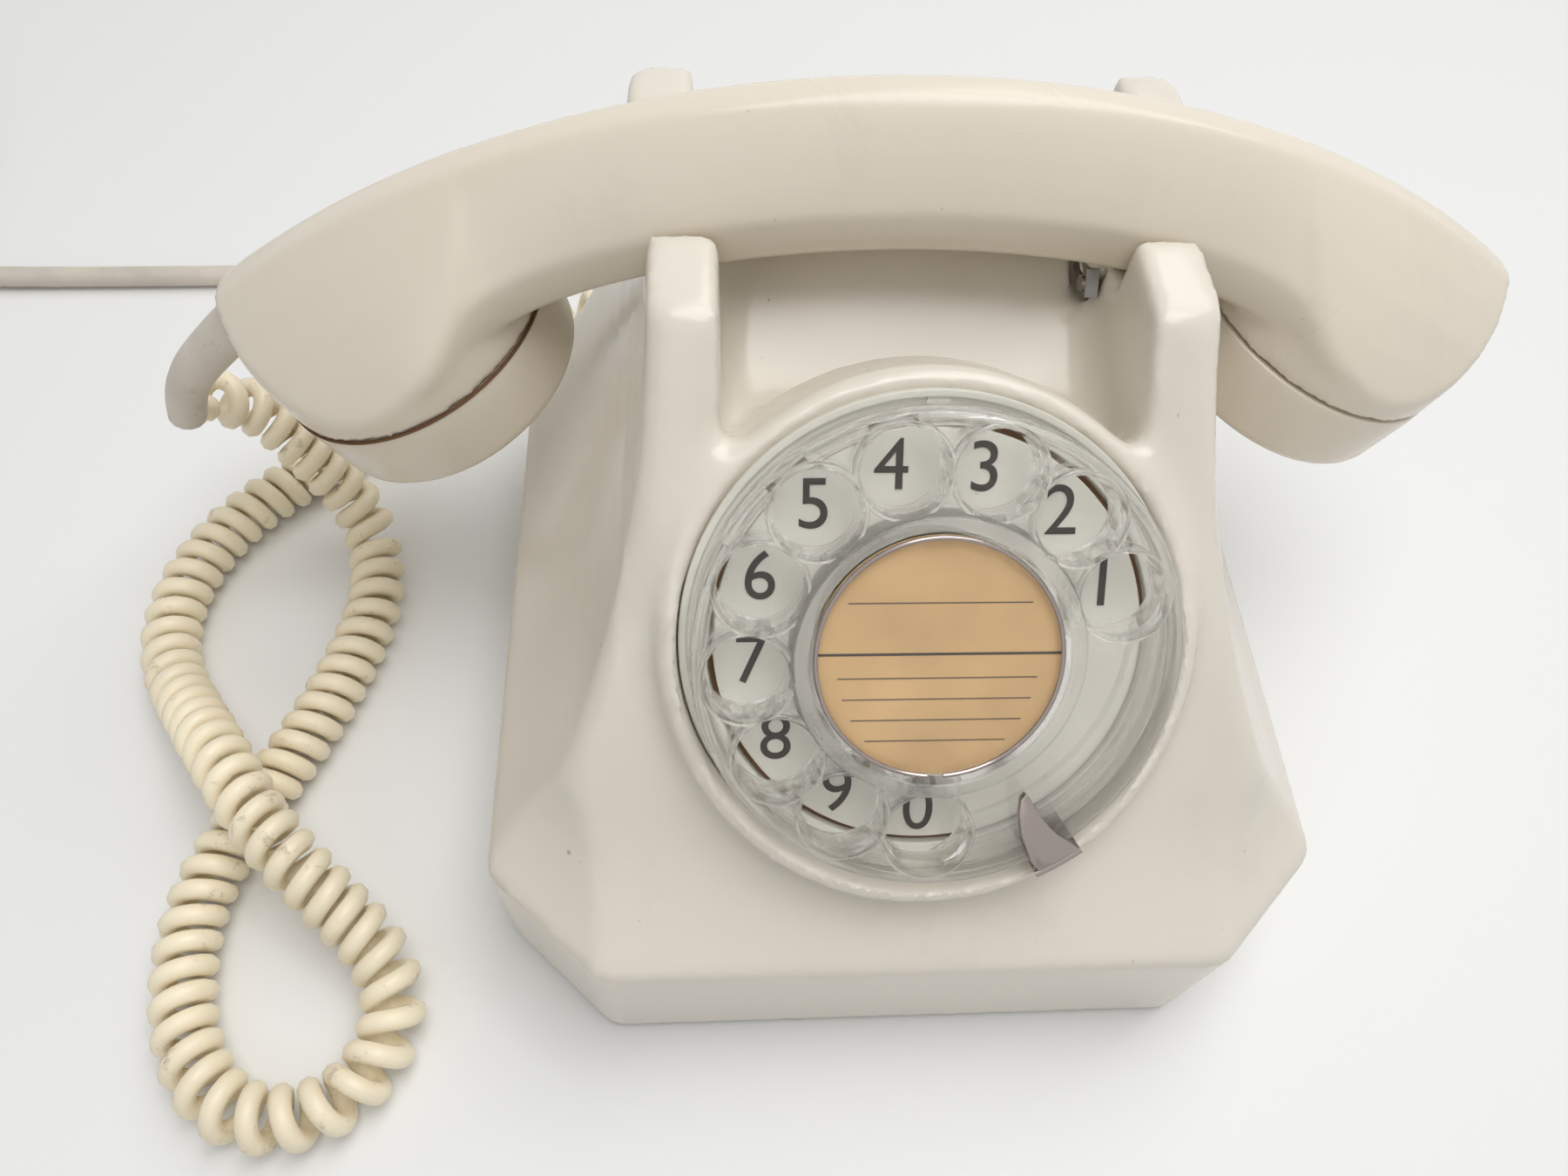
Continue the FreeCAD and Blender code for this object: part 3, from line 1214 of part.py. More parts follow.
def make_glands():
    back = Rotation(X_AXIS, -90)
    outlets = (("curly", v.curly_gland_x, "curly_wire / 2"), ("line", v.line_gland_x, "line_wire / 2"))
    for tag, x, bore in outlets:
        inside = v.depth - v.wall
        spot = at(x, inside, v.gland_z, back)
        sleeve = rod(tag + "_gland_sleeve", spot, "gland_radius", "wall + gland_lip")
        lip = rod(tag + "_gland_lip", at(x, v.depth, v.gland_z, back), "gland_flange", "gland_lip")
        nose = solid("Cone", tag + "_gland_nose", at(x, v.depth + v.gland_lip, v.gland_z, back),
                     Radius1="gland_radius", Radius2=bore + " + 0.8", Height="gland_lip")
        part(fuse(tag + "_cord_gland", [sleeve, lip, nose]), tag + "_cord_gland")


make_housing()
make_base()
make_finger_wheel()
make_label()
make_dial_train()
make_finger_stop()
make_handset()
make_hook()
make_bell()
make_circuit()
make_glands()
make_curly_cord()
make_line_cord()
make_coil()

doc.recompute()
for obj in doc.Objects:
    if "Invalid" in obj.State or "Error" in obj.State:
        raise RuntimeError(f"{obj.Label} failed: {obj.State}")
for obj in PARTS:
    if obj.Shape.isNull() or not obj.Shape.isValid():
        raise RuntimeError(f"{obj.Label} has no valid shape")

# The origin is on the table, midway along the handset and midway from front to back.
handset_box = next(obj for obj in PARTS if obj.Label == "handset_shell").Shape.optimalBoundingBox(False)
ORIGIN = Vector(handset_box.Center.x, v.depth / 2, 0)
os.makedirs("parts", exist_ok=True)
for obj in PARTS:
    shape = obj.Shape.copy()
    shape.translate(ORIGIN * -1)
    shape.exportStep(f"parts/{obj.Label}.step")
print(f"{len(PARTS)} pieces written, origin at {ORIGIN.x:.3f}, {ORIGIN.y:.3f}")
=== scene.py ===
"""Looks of an ivory rotary desk telephone: moulded skin, clear dial, handset, cords, light and camera.

Forms are drawn in millimetres with x = 0 on the middle of the housing, y = 0 at the front edge of its rim and
z = 0 on the table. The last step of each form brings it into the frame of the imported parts, in metres.
"""
import math

import bmesh
import bpy
from bpy.props import FloatProperty, FloatVectorProperty, IntProperty, PointerProperty
from mathutils import Matrix, Vector


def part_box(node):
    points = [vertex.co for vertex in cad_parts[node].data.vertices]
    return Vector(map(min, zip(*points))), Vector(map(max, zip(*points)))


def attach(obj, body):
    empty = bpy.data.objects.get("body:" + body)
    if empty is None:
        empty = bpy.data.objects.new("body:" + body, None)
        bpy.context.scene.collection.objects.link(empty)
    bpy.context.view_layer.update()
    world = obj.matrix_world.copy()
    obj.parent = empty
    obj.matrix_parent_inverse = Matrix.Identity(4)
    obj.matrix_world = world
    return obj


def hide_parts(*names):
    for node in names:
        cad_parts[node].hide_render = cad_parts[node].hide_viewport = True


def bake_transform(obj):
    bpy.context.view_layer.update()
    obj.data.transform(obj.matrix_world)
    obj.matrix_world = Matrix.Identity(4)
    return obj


bl_info = {
    "name": "Rotary desk telephone",
    "version": (1, 0, 0),
    "blender": (4, 5, 0),
    "location": "View3D > Sidebar > Telephone",
    "description": "Dresses the packed parts of a rotary desk telephone",
    "category": "Object",
}

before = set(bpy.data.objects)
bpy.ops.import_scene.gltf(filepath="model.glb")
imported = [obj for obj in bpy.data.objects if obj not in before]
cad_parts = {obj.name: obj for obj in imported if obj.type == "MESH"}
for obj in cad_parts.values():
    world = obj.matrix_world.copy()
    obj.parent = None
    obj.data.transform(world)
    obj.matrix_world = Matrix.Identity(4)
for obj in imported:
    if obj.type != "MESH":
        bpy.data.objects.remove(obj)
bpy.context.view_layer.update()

HOUSING_LOW, HOUSING_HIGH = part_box("housing")
HOUSING_FRONT = Vector(((HOUSING_LOW.x + HOUSING_HIGH.x) / 2, HOUSING_LOW.y, 0))
TO_FRAME = Matrix.Translation(HOUSING_FRONT) @ Matrix.Scale(0.001, 4)

# Housing, as in the part's source. Only the rear horns are drawn wider apart and higher.
RIM, HORN_TOP, DEPTH = 36.5, 116.5, 172.0
FRONT_HALF, SIDE_HALF, HORN_HALF, HORN_INNER = 56.3, 77.8, 46.5, 34.6
CORNER_DEPTH, CORNER_FADE, CORNER_ROUND = 20.2, 24.0, 1.8
COVE, REAR_COVE = 15.5, 26.0
REAR_TOP, REAR_LEAN = 141, 0.16
REAR_WIDER, REAR_HIGHER = 4.0, 2.4
REAR_FROM, REAR_OVER, RISE_FROM, RISE_OVER = 122, 5, 97, 12
CREST_Y, CREST_Z, FLOOR_Z, FLOOR_BEND = 114.0, 99.0, 86.0, 78.0
FLARE = ((HORN_TOP - RIM) ** 2 + (SIDE_HALF - HORN_HALF) ** 2) / (2 * (SIDE_HALF - HORN_HALF))
WALL = 3.0
COLLAR_RADIUS, COLLAR_DEEP, WELL_RADIUS, WELL_DEEP = 45.6, 1.2, 42.2, 13.2
SADDLE_HALF, SADDLE_GAP = 14.0, 0.3
BAR_RADIUS, BAR_HALF, BAR_GAP, BAR_Y, BAR_SHARE = 3.0, 9.5, 0.7, 110, 0.62

# Dial. Its depths are measured from the top of the wheel's skirt.
TILT = math.radians(47.4)
DIAL = Matrix.Translation((0, 37, 84.6)) @ Matrix.Rotation(TILT, 4, "X")
HOLE_CIRCLE, HOLE_RADIUS, HOLE_FIRST, HOLE_STEP = 31.0, 6.9, 19.1, 27.75
PLATE_DEEP, PANEL_DEEP = 10.2, 11
FIGURE_CIRCLE, LABEL_RADIUS = 30.6, 20.2

# Handset.
ARCH = Vector((0, 114, -68))
ARCH_TOP, ARCH_UNDER = 202.0, 176.5
GRIP_HALF, RIDGE_HALF, FLARE_LONG, FLARE_RADIUS = 13.3, 2.6, 20.5, 190
ROOF_FALL, ROOF_LEAST, ROOF_WIDER = 0.78, 0.58, 1.5
SLIP = Matrix.Translation(ARCH) @ Matrix.Rotation(math.radians(-1.8), 4, "Y") @ Matrix.Translation(-ARCH)
HEAD_REACH, HEAD_HEIGHT, HEAD_RADIUS, HEAD_TILT = 88.4, 83.2, 28.1, math.radians(20.4)
CAP_HIGH, SEAM, HEAD_ANGLE = 16.0, 0.3, math.radians(29.6)
HEAD_INSET, CHAMBER_RADIUS, CHAMBER_DEEP = 0.8, 25.4, 5.5
NECK_FROM, NECK_TO, NECK_PASSES, HEAD_PASSES = 10, 28, 110, 30

# Middle lines of the soft pieces. The boot's head end lies a little lower than in the part's source.
BOOT_ROUTE = [(-119.5, 113.5, 86.5), (-132.2, 113.7, 74.6), (-142.8, 114.6, 62.0), (-145.9, 115.8, 51.6)]
CURLY_ROUTE = [
    (-146, 116, 51), (-146, 122, 48.5), (-142.5, 127.5, 43.5), (-137, 129, 37), (-131.5, 126.5, 29.8),
    (-126, 123.3, 22.3), (-121.5, 120.5, 14.8), (-118, 115, 8.6), (-116, 107, 6.6), (-114.8, 96.5, 6.6),
    (-117.5, 82.5, 6.6), (-124, 64, 6.6), (-131, 50, 6.6), (-138, 35.5, 6.6), (-140.8, 22.5, 6.6),
    (-140, 9, 6.6), (-136, -4, 6.6), (-127.5, -14, 6.6), (-116.5, -16.5, 6.6), (-104.5, -12.5, 6.6),
    (-97.5, 0, 6.8), (-100.5, 12, 9), (-109, 20.5, 13.5), (-119, 29, 19.4), (-129, 40.5, 21.4),
    (-137.5, 52, 20), (-146.5, 63.5, 13.5), (-155, 74.5, 8.4), (-160, 86, 6.6), (-160.2, 99, 6.6),
    (-157, 110, 6.6), (-151.5, 120, 6.6), (-143.5, 129, 6.6), (-134, 137, 6.6), (-124.5, 147.5, 6.6),
    (-115, 160, 6.6), (-104, 173, 6.6), (-90, 185, 6.6), (-73, 191.5, 6.9), (-56, 191, 8),
    (-46.5, 184, 9.4), (-46, 176, 9.5),
]
LINE_ROUTE = [
    (-10, 176.3, 9.5), (-10, 189.5, 8.6), (-18, 201.5, 5.4), (-31.5, 207.4, 3.2), (-52, 209.8, 2.9),
    (-88, 210.8, 2.9), (-136, 210.2, 2.9), (-184, 208.6, 2.9), (-230, 207.4, 3.1), (-266, 207.05, 3.8),
    (-294.4, 207.1, 4),
]
COIL_MIDDLE, COIL_INNER, COIL_STEP, COIL_TURNS = (-300.0, 250.5), 18.6, 6.2, 8
COIL_LOW, COIL_TAIL, PLUG_LONG = 4.0, 36.0, 34.0
TIE_OUTSIDE = (16.8, -4.5, 0.1), (44.8, 4.5, 14.1)
TIE_INSIDE = (17.6, -6, 0.9), (44.0, 6, 13.3)
TIE_TURN = math.radians(60)

# Soft pieces, in metres: the boot, then the curly cord's straight leads and the pulled part near the housing.
BOOT_RADIUS, BOOT_TAPER = 0.0047, 0.18
LEAD, LEAD_EASE = 0.004, 0.008
PULLED_FROM, PULLED_OVER, PULLED_MORE = 0.405, 0.025, 0.7
CURL_STEPS, BEND_REACH, TIGHTEST = 20, 3, 0.4


def linear(red, green, blue):
    """A display colour of 0 to 255 as linear light."""
    shares = [channel / 255 for channel in (red, green, blue)]
    return tuple(s / 12.92 if s <= 0.04045 else ((s + 0.055) / 1.055) ** 2.4 for s in shares)


def ease(share):
    """A soft step from 0 to 1."""
    share = min(1.0, max(0.0, share))
    return share * share * (3 - 2 * share)


def length(name, words, default):
    return FloatProperty(name=name, description=words, default=default, min=0.00005, unit="LENGTH")


def colour(name, words, *shades):
    return FloatVectorProperty(name=name, description=words, default=linear(*shades), size=3, min=0, max=1,
                               subtype="COLOR")


def light_power(name, words, default):
    return FloatProperty(name=name, description=words, default=default, min=0, unit="POWER")


class TelephoneForm(bpy.types.PropertyGroup):
    """Sizes of the drawn forms."""
    soft_edge: length("Housing grain", "Cell size that softens the moulded edges of the housing", 0.0011)
    soft_grip: length("Handset grain", "Cell size that softens the moulded edges of the handset", 0.0009)
    curl_wire: length("Curl wire", "Diameter of the wire of the curly cord", 0.0043)
    curl_radius: length("Curl radius", "Radius of the curls at the middle of the wire", 0.0043)
    curl_spacing: length("Curl spacing", "Distance between neighbouring curls at rest", 0.00485)
    line_wire: length("Line wire", "Diameter of the line cord", 0.0056)
    figure_height: length("Figure height", "Height of the figures on the number plate", 0.0083)
    wheel_steps: IntProperty(name="Wheel steps", description="Steps of a full turn of the round forms",
                             default=128, min=24, max=256, subtype="UNSIGNED")


class TelephoneColours(bpy.types.PropertyGroup):
    """Colours of the surfaces."""
    ivory: colour("Ivory", "Aged ivory plastic of the housing", 220, 213, 200)
    handset: colour("Handset ivory", "Slightly warmer plastic of the handset", 222, 212, 195)
    cord: colour("Cord", "Cream plastic of the curly cord", 246, 234, 206)
    rubber: colour("Grey rubber", "Boot, glands and line cord", 208, 199, 186)
    paper: colour("Paper", "Aged paper of the label", 204, 170, 124)
    plate: colour("Number plate", "Light grey number plate", 208, 205, 194)
    ink: colour("Ink", "Figures of the number plate", 60, 54, 50)


class TelephoneStage(bpy.types.PropertyGroup):
    """Camera and light."""
    camera_place: FloatVectorProperty(name="Camera place", description="Where the photograph was taken from",
                                      default=(-0.03696, -0.05141, 0.24766), size=3, subtype="TRANSLATION")
    camera_lens: FloatProperty(name="Lens", description="Focal length for a 36 mm wide picture",
                               default=26.946, min=1, unit="CAMERA")
    key_power: light_power("Key light", "Power of the large light behind the right", 9.0)
    fill_power: light_power("Fill light", "Power of the light at the left", 2.8)
    top_power: light_power("Top light", "Power of the light that shines into the cradle", 4.8)


def shown(name, data):
    """A new object in the scene for a mesh, curve or light."""
    obj = bpy.data.objects.new(name, data)
    bpy.context.scene.collection.objects.link(obj)
    return obj


def as_object(form, name="form"):
    """A bmesh as an object; the bmesh is used up."""
    mesh = bpy.data.meshes.new(name)
    form.to_mesh(mesh)
    form.free()
    return shown(name, mesh)


def drop(obj):
    data = obj.data
    bpy.data.objects.remove(obj)
    if isinstance(data, bpy.types.Mesh):
        bpy.data.meshes.remove(data)
    else:
        bpy.data.curves.remove(data)


def evaluated(obj):
    """What an object shows, modifiers and bevels included, as a bmesh; the object is used up."""
    bpy.context.view_layer.update()
    mesh = bpy.data.meshes.new_from_object(obj.evaluated_get(bpy.context.evaluated_depsgraph_get()))
    form = bmesh.new()
    form.from_mesh(mesh)
    bpy.data.meshes.remove(mesh)
    drop(obj)
    return form


def carve(base, tool, operation, crossing=False):
    """Joins, cuts or crosses two closed forms; both are used up."""
    body, cutter = as_object(base), as_object(tool)
    step = body.modifiers.new("carve", "BOOLEAN")
    step.object, step.operation, step.solver, step.use_self = cutter, operation, "EXACT", crossing
    form = evaluated(body)
    drop(cutter)
    return form


def together(*forms):
    """Several forms in one bmesh, as they are."""
    whole = bmesh.new()
    for form in forms:
        mesh = bpy.data.meshes.new("part")
        form.to_mesh(mesh)
        form.free()
        whole.from_mesh(mesh)
        bpy.data.meshes.remove(mesh)
    return whole


def soften(form, grain, passes):
    """Runs a closed form through a fine grid and smooths it, so that its edges and corners become round.

    The form is turned meanwhile, so that none of its flat walls lies along the grid.
    """
    turned = Matrix.Rotation(0.5, 4, "X") @ Matrix.Rotation(0.7, 4, "Y") @ Matrix.Rotation(0.3, 4, "Z")
    obj = as_object(place(form, turned))
    step = obj.modifiers.new("grid", "REMESH")
    step.mode, step.voxel_size, step.adaptivity = "VOXEL", grain, 0
    form = evaluated(obj)
    for _ in range(passes):
        smooth(form, form.verts)
    return place(form, turned.inverted())


def smooth(form, verts):
    bmesh.ops.smooth_vert(form, verts=list(verts), factor=0.5,
                          use_axis_x=True, use_axis_y=True, use_axis_z=True)


def place(form, matrix):
    bmesh.ops.transform(form, matrix=matrix, verts=form.verts)
    if matrix.determinant() < 0:
        bmesh.ops.reverse_faces(form, faces=form.faces)
    return form


def chain(form, points, closed):
    """Edges through points; a fourth number rounds that corner."""
    verts = [form.verts.new(point[:3]) for point in points]
    ends = verts[1:] + verts[:1] if closed else verts[1:]
    for a, b in zip(verts, ends):
        form.edges.new((a, b))
    for vert, point in zip(verts, points):
        if len(point) > 3:
            bmesh.ops.bevel(form, geom=[vert], offset=point[3], offset_type="OFFSET", segments=4, profile=0.5,
                            affect="VERTICES", material=-1)


def lathe(profile, matrix, steps, closed=False, angle=2 * math.pi):
    """A form of revolution about z from (radius, height) or (radius, height, rounding) corners."""
    form = bmesh.new()
    chain(form, [(p[0], 0, p[1], *p[2:]) for p in profile], closed)
    whole = abs(angle - 2 * math.pi) < 1e-6
    bmesh.ops.spin(form, geom=form.verts[:] + form.edges[:], cent=(0, 0, 0), axis=(0, 0, 1), angle=angle,
                   steps=steps, use_merge=whole)
    bmesh.ops.remove_doubles(form, verts=form.verts, dist=1e-4)
    if not whole:
        bmesh.ops.holes_fill(form, edges=[e for e in form.edges if e.is_boundary])
    bmesh.ops.recalc_face_normals(form, faces=form.faces)
    return place(form, matrix)


def loft(outlines):
    """A closed form through a row of closed outlines."""
    form = bmesh.new()
    rings = []
    for corners in outlines:
        before = set(form.edges)
        chain(form, corners, closed=True)
        rings.append([edge for edge in form.edges if edge not in before])
    for near, far in zip(rings, rings[1:]):
        bmesh.ops.bridge_loops(form, edges=near + far)
    for ring in (rings[0], rings[-1]):
        bmesh.ops.edgeloop_fill(form, edges=ring)
    bmesh.ops.recalc_face_normals(form, faces=form.faces)
    return form


def drum(radius, low, high, matrix, steps):
    return lathe([(0, low), (radius, low), (radius, high), (0, high)], matrix, steps)


def slab(points, way, edge=0.0):
    """A flat outline pushed along a direction, with its edges rounded."""
    form = bmesh.new()
    face = form.faces.new([form.verts.new(p) for p in points])
    pushed = bmesh.ops.extrude_face_region(form, geom=[face], use_keep_orig=True)
    moved = [item for item in pushed["geom"] if isinstance(item, bmesh.types.BMVert)]
    bmesh.ops.translate(form, verts=moved, vec=way)
    bmesh.ops.recalc_face_normals(form, faces=form.faces)
    if edge:
        bmesh.ops.bevel(form, geom=form.edges[:], offset=edge, segments=3, profile=0.5,
                        affect="EDGES", material=-1)
    return form


def box(low, high, edge=0.0):
    (left, front, under), (right, rear, top) = low, high
    corners = [(left, front, under), (right, front, under), (right, rear, under), (left, rear, under)]
    return slab(corners, (0, 0, top - under), edge)


def line_through(points):
    """A curve whose control points are in millimetres, in the frame of the parts."""
    curve = bpy.data.curves.new("line", "CURVE")
    curve.dimensions = "3D"
    curve.resolution_u = 12
    spline = curve.splines.new("NURBS")
    spline.points.add(len(points) - 1)
    for point, spot in zip(spline.points, points):
        point.co = (*(TO_FRAME @ Vector(spot)), 1)
    spline.order_u = 3
    spline.use_endpoint_u = True
    return curve


def points_along(curve):
    """Points of a curve's own line, in order."""
    obj = shown("line", curve)
    bpy.context.view_layer.update()
    mesh = bpy.data.meshes.new_from_object(obj.evaluated_get(bpy.context.evaluated_depsgraph_get()))
    points = [vert.co.copy() for vert in mesh.vertices]
    bpy.data.meshes.remove(mesh)
    drop(obj)
    return points


def tube_along(points, radius, sides, radii=None):
    """A round tube with closed ends on points of the frame, as a bmesh."""
    curve = bpy.data.curves.new("tube", "CURVE")
    curve.dimensions = "3D"
    curve.bevel_depth, curve.bevel_resolution, curve.use_fill_caps = radius, sides, True
    spline = curve.splines.new("POLY")
    spline.points.add(len(points) - 1)
    for index, (point, spot) in enumerate(zip(spline.points, points)):
        point.co = (*spot, 1)
        point.radius = radii[index] if radii else 1
    return evaluated(shown("tube", curve))


def settle(form, name, body, finish, nodes=(), slot=None, moved=True, sharp=35.0):
    """Makes a form a piece of the telephone that moves with one of its bodies, when a body is given.

    Its slot argument is not used.
    """
    slot = slot or finish
    if moved:
        place(form, TO_FRAME)
    obj = as_object(form, name)
    obj.data.shade_smooth()
    obj.data.set_sharp_from_angle(angle=math.radians(sharp))
    obj.data.materials.append(FINISHES[finish])
    if body:
        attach(obj, body)
    if nodes:
        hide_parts(*nodes)
    return obj


def surface(name, shade, roughness, **more):
    """A material whose plain numbers sit on the shader itself."""
    made = bpy.data.materials.new(name)
    made.use_nodes = True
    shader = made.node_tree.nodes["Principled BSDF"]
    shader.inputs["Base Color"].default_value = (*shade, 1)
    shader.inputs["Roughness"].default_value = roughness
    for socket, value in more.items():
        shader.inputs[socket.replace("_", " ")].default_value = value
    return made


def add_node(made, kind, inputs=None, **settings):
    node = made.node_tree.nodes.new(kind)
    for key, value in settings.items():
        setattr(node, key, value)
    for key, value in (inputs or {}).items():
        node.inputs[key].default_value = value
    return node


def noise_on(made, scale, detail=3.0, roughness=0.5, stretch=(1, 1, 1)):
    """A noise that sits still on the piece."""
    link = made.node_tree.links.new
    where = add_node(made, "ShaderNodeTexCoord")
    spread = add_node(made, "ShaderNodeMapping", {"Scale": stretch})
    noise = add_node(made, "ShaderNodeTexNoise", {"Scale": scale, "Detail": detail, "Roughness": roughness})
    link(where.outputs["Object"], spread.inputs["Vector"])
    link(spread.outputs["Vector"], noise.inputs["Vector"])
    return noise.outputs["Fac"]


def ramp_from(made, value, stops):
    """A colour ramp on a value from (place, colour) stops."""
    ramp = add_node(made, "ShaderNodeValToRGB")
    elements = ramp.color_ramp.elements
    while len(elements) < len(stops):
        elements.new(0.5)
    for element, (spot, shade) in zip(elements, stops):
        element.position, element.color = spot, (*shade, 1)
    made.node_tree.links.new(value, ramp.inputs["Fac"])
    return ramp.outputs["Color"]


def range_from(made, value, low, high, to_low, to_high):
    step = add_node(made, "ShaderNodeMapRange",
                    {"From Min": low, "From Max": high, "To Min": to_low, "To Max": to_high}, clamp=True)
    made.node_tree.links.new(value, step.inputs["Value"])
    return step.outputs["Result"]


def lay_over(made, under, over, share):
    """One colour over another where share is high."""
    link = made.node_tree.links.new
    mix = add_node(made, "ShaderNodeMix", data_type="RGBA")
    link(share, mix.inputs["Factor"])
    link(under, mix.inputs["A"])
    mix.inputs["B"].default_value = (*over, 1)
    return mix.outputs["Result"]


def paint(made, socket, value):
    made.node_tree.links.new(value, made.node_tree.nodes["Principled BSDF"].inputs[socket])


def grain(made, scale, distance, strength=0.3):
    """A fine relief."""
    bump = add_node(made, "ShaderNodeBump", {"Strength": strength, "Distance": distance})
    made.node_tree.links.new(noise_on(made, scale, 2.0), bump.inputs["Height"])
    paint(made, "Normal", bump.outputs["Normal"])


def shaded(shade, factor):
    return tuple(min(1, channel * factor) for channel in shade)


def mottled(made, noise, shade, dark, light, ends=(0.3, 0.7)):
    """A colour that drifts between a darker and a lighter shade."""
    return ramp_from(made, noise, [(ends[0], shaded(shade, dark)), (ends[1], shaded(shade, light))])


def worn_gloss(made, noise, low, high, polished, worn):
    """A gloss that drifts between polished and worn."""
    paint(made, "Roughness", range_from(made, noise, low, high, polished, worn))


def moulded_plastic(name, shade, dirt, roughness=0.19):
    """Glossy old plastic: slow yellowing, fine specks of dirt and a slightly worn gloss."""
    made = surface(name, shade, roughness, Specular_IOR_Level=0.5,
                   Subsurface_Weight=0.06, Subsurface_Scale=0.004)
    made.node_tree.nodes["Principled BSDF"].inputs["Subsurface Radius"].default_value = (1.0, 0.8, 0.6)
    tone = mottled(made, noise_on(made, 9.0, 4.0), shade, 0.965, 1.02)
    specks = range_from(made, noise_on(made, 420.0, 2.0), 0.77, 0.82, 0.0, 0.5)
    smears = range_from(made, noise_on(made, 46.0, 6.0, 0.72, (1, 1, 0.35)), 0.55, 0.95, 0.0, 0.12)
    tone = lay_over(made, tone, dirt, specks)
    paint(made, "Base Color", lay_over(made, tone, dirt, smears))
    worn_gloss(made, noise_on(made, 26.0, 2.0), 0.3, 0.75, roughness - 0.04, roughness + 0.05)
    grain(made, 60.0, 0.0001, 0.05)
    return made


# Name, colour, roughness and scale of the pattern.
METALS = (("steel", (150, 150, 148), 0.34, 140.0), ("brass", (196, 160, 92), 0.3, 90.0),
          ("can", (172, 174, 172), 0.42, 60.0))
DULL_PLASTICS = (("black_plastic", (34, 33, 33), 0.4, 120.0), ("rubber", (44, 42, 40), 0.7, 200.0),
                 ("tie", (58, 54, 50), 0.75, 300.0))


def make_finishes(colours):
    """All surfaces of the telephone by name."""
    finishes = {}
    dirt = linear(120, 98, 74)
    finishes["ivory"] = moulded_plastic("ivory", tuple(colours.ivory), dirt)
    finishes["handset_ivory"] = moulded_plastic("handset_ivory", tuple(colours.handset), dirt, 0.24)
    finishes["ivory_bar"] = moulded_plastic("ivory_bar", linear(222, 214, 200), dirt, 0.3)

    clear = surface("clear", (0.995, 0.99, 0.98), 0.03, IOR=1.49, Transmission_Weight=1.0, Alpha=0.66)
    worn_gloss(clear, noise_on(clear, 320.0, 5.0, 0.7), 0.5, 0.85, 0.02, 0.12)
    finishes["clear"] = clear
    cover = surface("clear_cover", (1.0, 0.99, 0.97), 0.4, IOR=1.4, Transmission_Weight=1.0, Alpha=0.2)
    worn_gloss(cover, noise_on(cover, 90.0, 4.0), 0.3, 0.7, 0.35, 0.5)
    finishes["clear_cover"] = cover

    paper = surface("paper", tuple(colours.paper), 0.8)
    paint(paper, "Base Color", mottled(paper, noise_on(paper, 60.0, 5.0), colours.paper, 0.86, 1.1))
    grain(paper, 1500.0, 0.00005)
    finishes["paper"] = paper

    plate = surface("dial_grey", tuple(colours.plate), 0.42, Specular_IOR_Level=0.4)
    tone = mottled(plate, noise_on(plate, 40.0, 5.0), colours.plate, 0.92, 1.03)
    specks = range_from(plate, noise_on(plate, 800.0, 2.0), 0.72, 0.8, 0.0, 0.5)
    paint(plate, "Base Color", lay_over(plate, tone, linear(110, 104, 94), specks))
    finishes["dial_grey"] = plate

    finishes["ink"] = surface("ink", tuple(colours.ink), 0.55)
    # Dark brown of the dirt in the handset's seam, also used as painted shade with dirt in the dial's groove.
    finishes["grime_and_groove_shade"] = surface("grime_and_groove_shade", linear(104, 74, 46), 0.8)

    chrome = surface("chrome", linear(152, 142, 138), 0.2, Metallic=1.0)
    worn_gloss(chrome, noise_on(chrome, 300.0, 5.0), 0.35, 0.75, 0.12, 0.3)
    finishes["chrome"] = chrome
    for name, shades, rough, scale in METALS:
        shade = linear(*shades)
        metal = surface(name, shade, rough, Metallic=1.0)
        paint(metal, "Base Color", mottled(metal, noise_on(metal, scale, 4.0, 0.6), shade, 0.8, 1.08))
        worn_gloss(metal, noise_on(metal, 3 * scale, 4.0), 0.3, 0.7, rough - 0.1, rough + 0.12)
        finishes[name] = metal

    copper = linear(148, 78, 44)
    winding = surface("winding", copper, 0.38, Metallic=0.6)
    turns = noise_on(winding, 700.0, 2.0, 0.5, (0.1, 0.1, 3))
    paint(winding, "Base Color", mottled(winding, turns, copper, 0.6, 1.15, (0.35, 0.65)))
    finishes["winding"] = winding
    for name, shades, rough, scale in DULL_PLASTICS:
        dull = surface(name, linear(*shades), rough)
        worn_gloss(dull, noise_on(dull, scale, 4.0), 0.3, 0.7, rough - 0.1, rough + 0.12)
        grain(dull, 6 * scale, 0.00008)
        finishes[name] = dull

    rubber = surface("grey_rubber", tuple(colours.rubber), 0.5)
    tone = mottled(rubber, noise_on(rubber, 55.0, 5.0), colours.rubber, 0.84, 1.06)
    marks = range_from(rubber, noise_on(rubber, 240.0, 4.0, 0.7), 0.6, 0.8, 0.0, 0.5)
    paint(rubber, "Base Color", lay_over(rubber, tone, linear(104, 92, 78), marks))
    grain(rubber, 900.0, 0.00006)
    finishes["grey_rubber"] = rubber

    cord = surface("cream_cord", tuple(colours.cord), 0.34, Subsurface_Weight=0.1, Subsurface_Scale=0.002)
    tone = mottled(cord, noise_on(cord, 30.0, 4.0), colours.cord, 0.9, 1.06)
    smudges = range_from(cord, noise_on(cord, 130.0, 5.0, 0.75), 0.585, 0.74, 0.0, 0.7)
    paint(cord, "Base Color", lay_over(cord, tone, linear(128, 104, 74), smudges))
    worn_gloss(cord, noise_on(cord, 150.0, 4.0), 0.3, 0.75, 0.26, 0.5)
    finishes["cream_cord"] = cord
    return finishes


FINISHES = {}


def half_width(z):
    return HORN_HALF + FLARE - math.sqrt(FLARE ** 2 - (HORN_TOP - z) ** 2)


def panel_y(z):
    """Depth of the sloping front at a height."""
    foot = DIAL @ Vector((0, 0, -PANEL_DEEP))
    return foot.y + (z - foot.z) / math.tan(TILT)


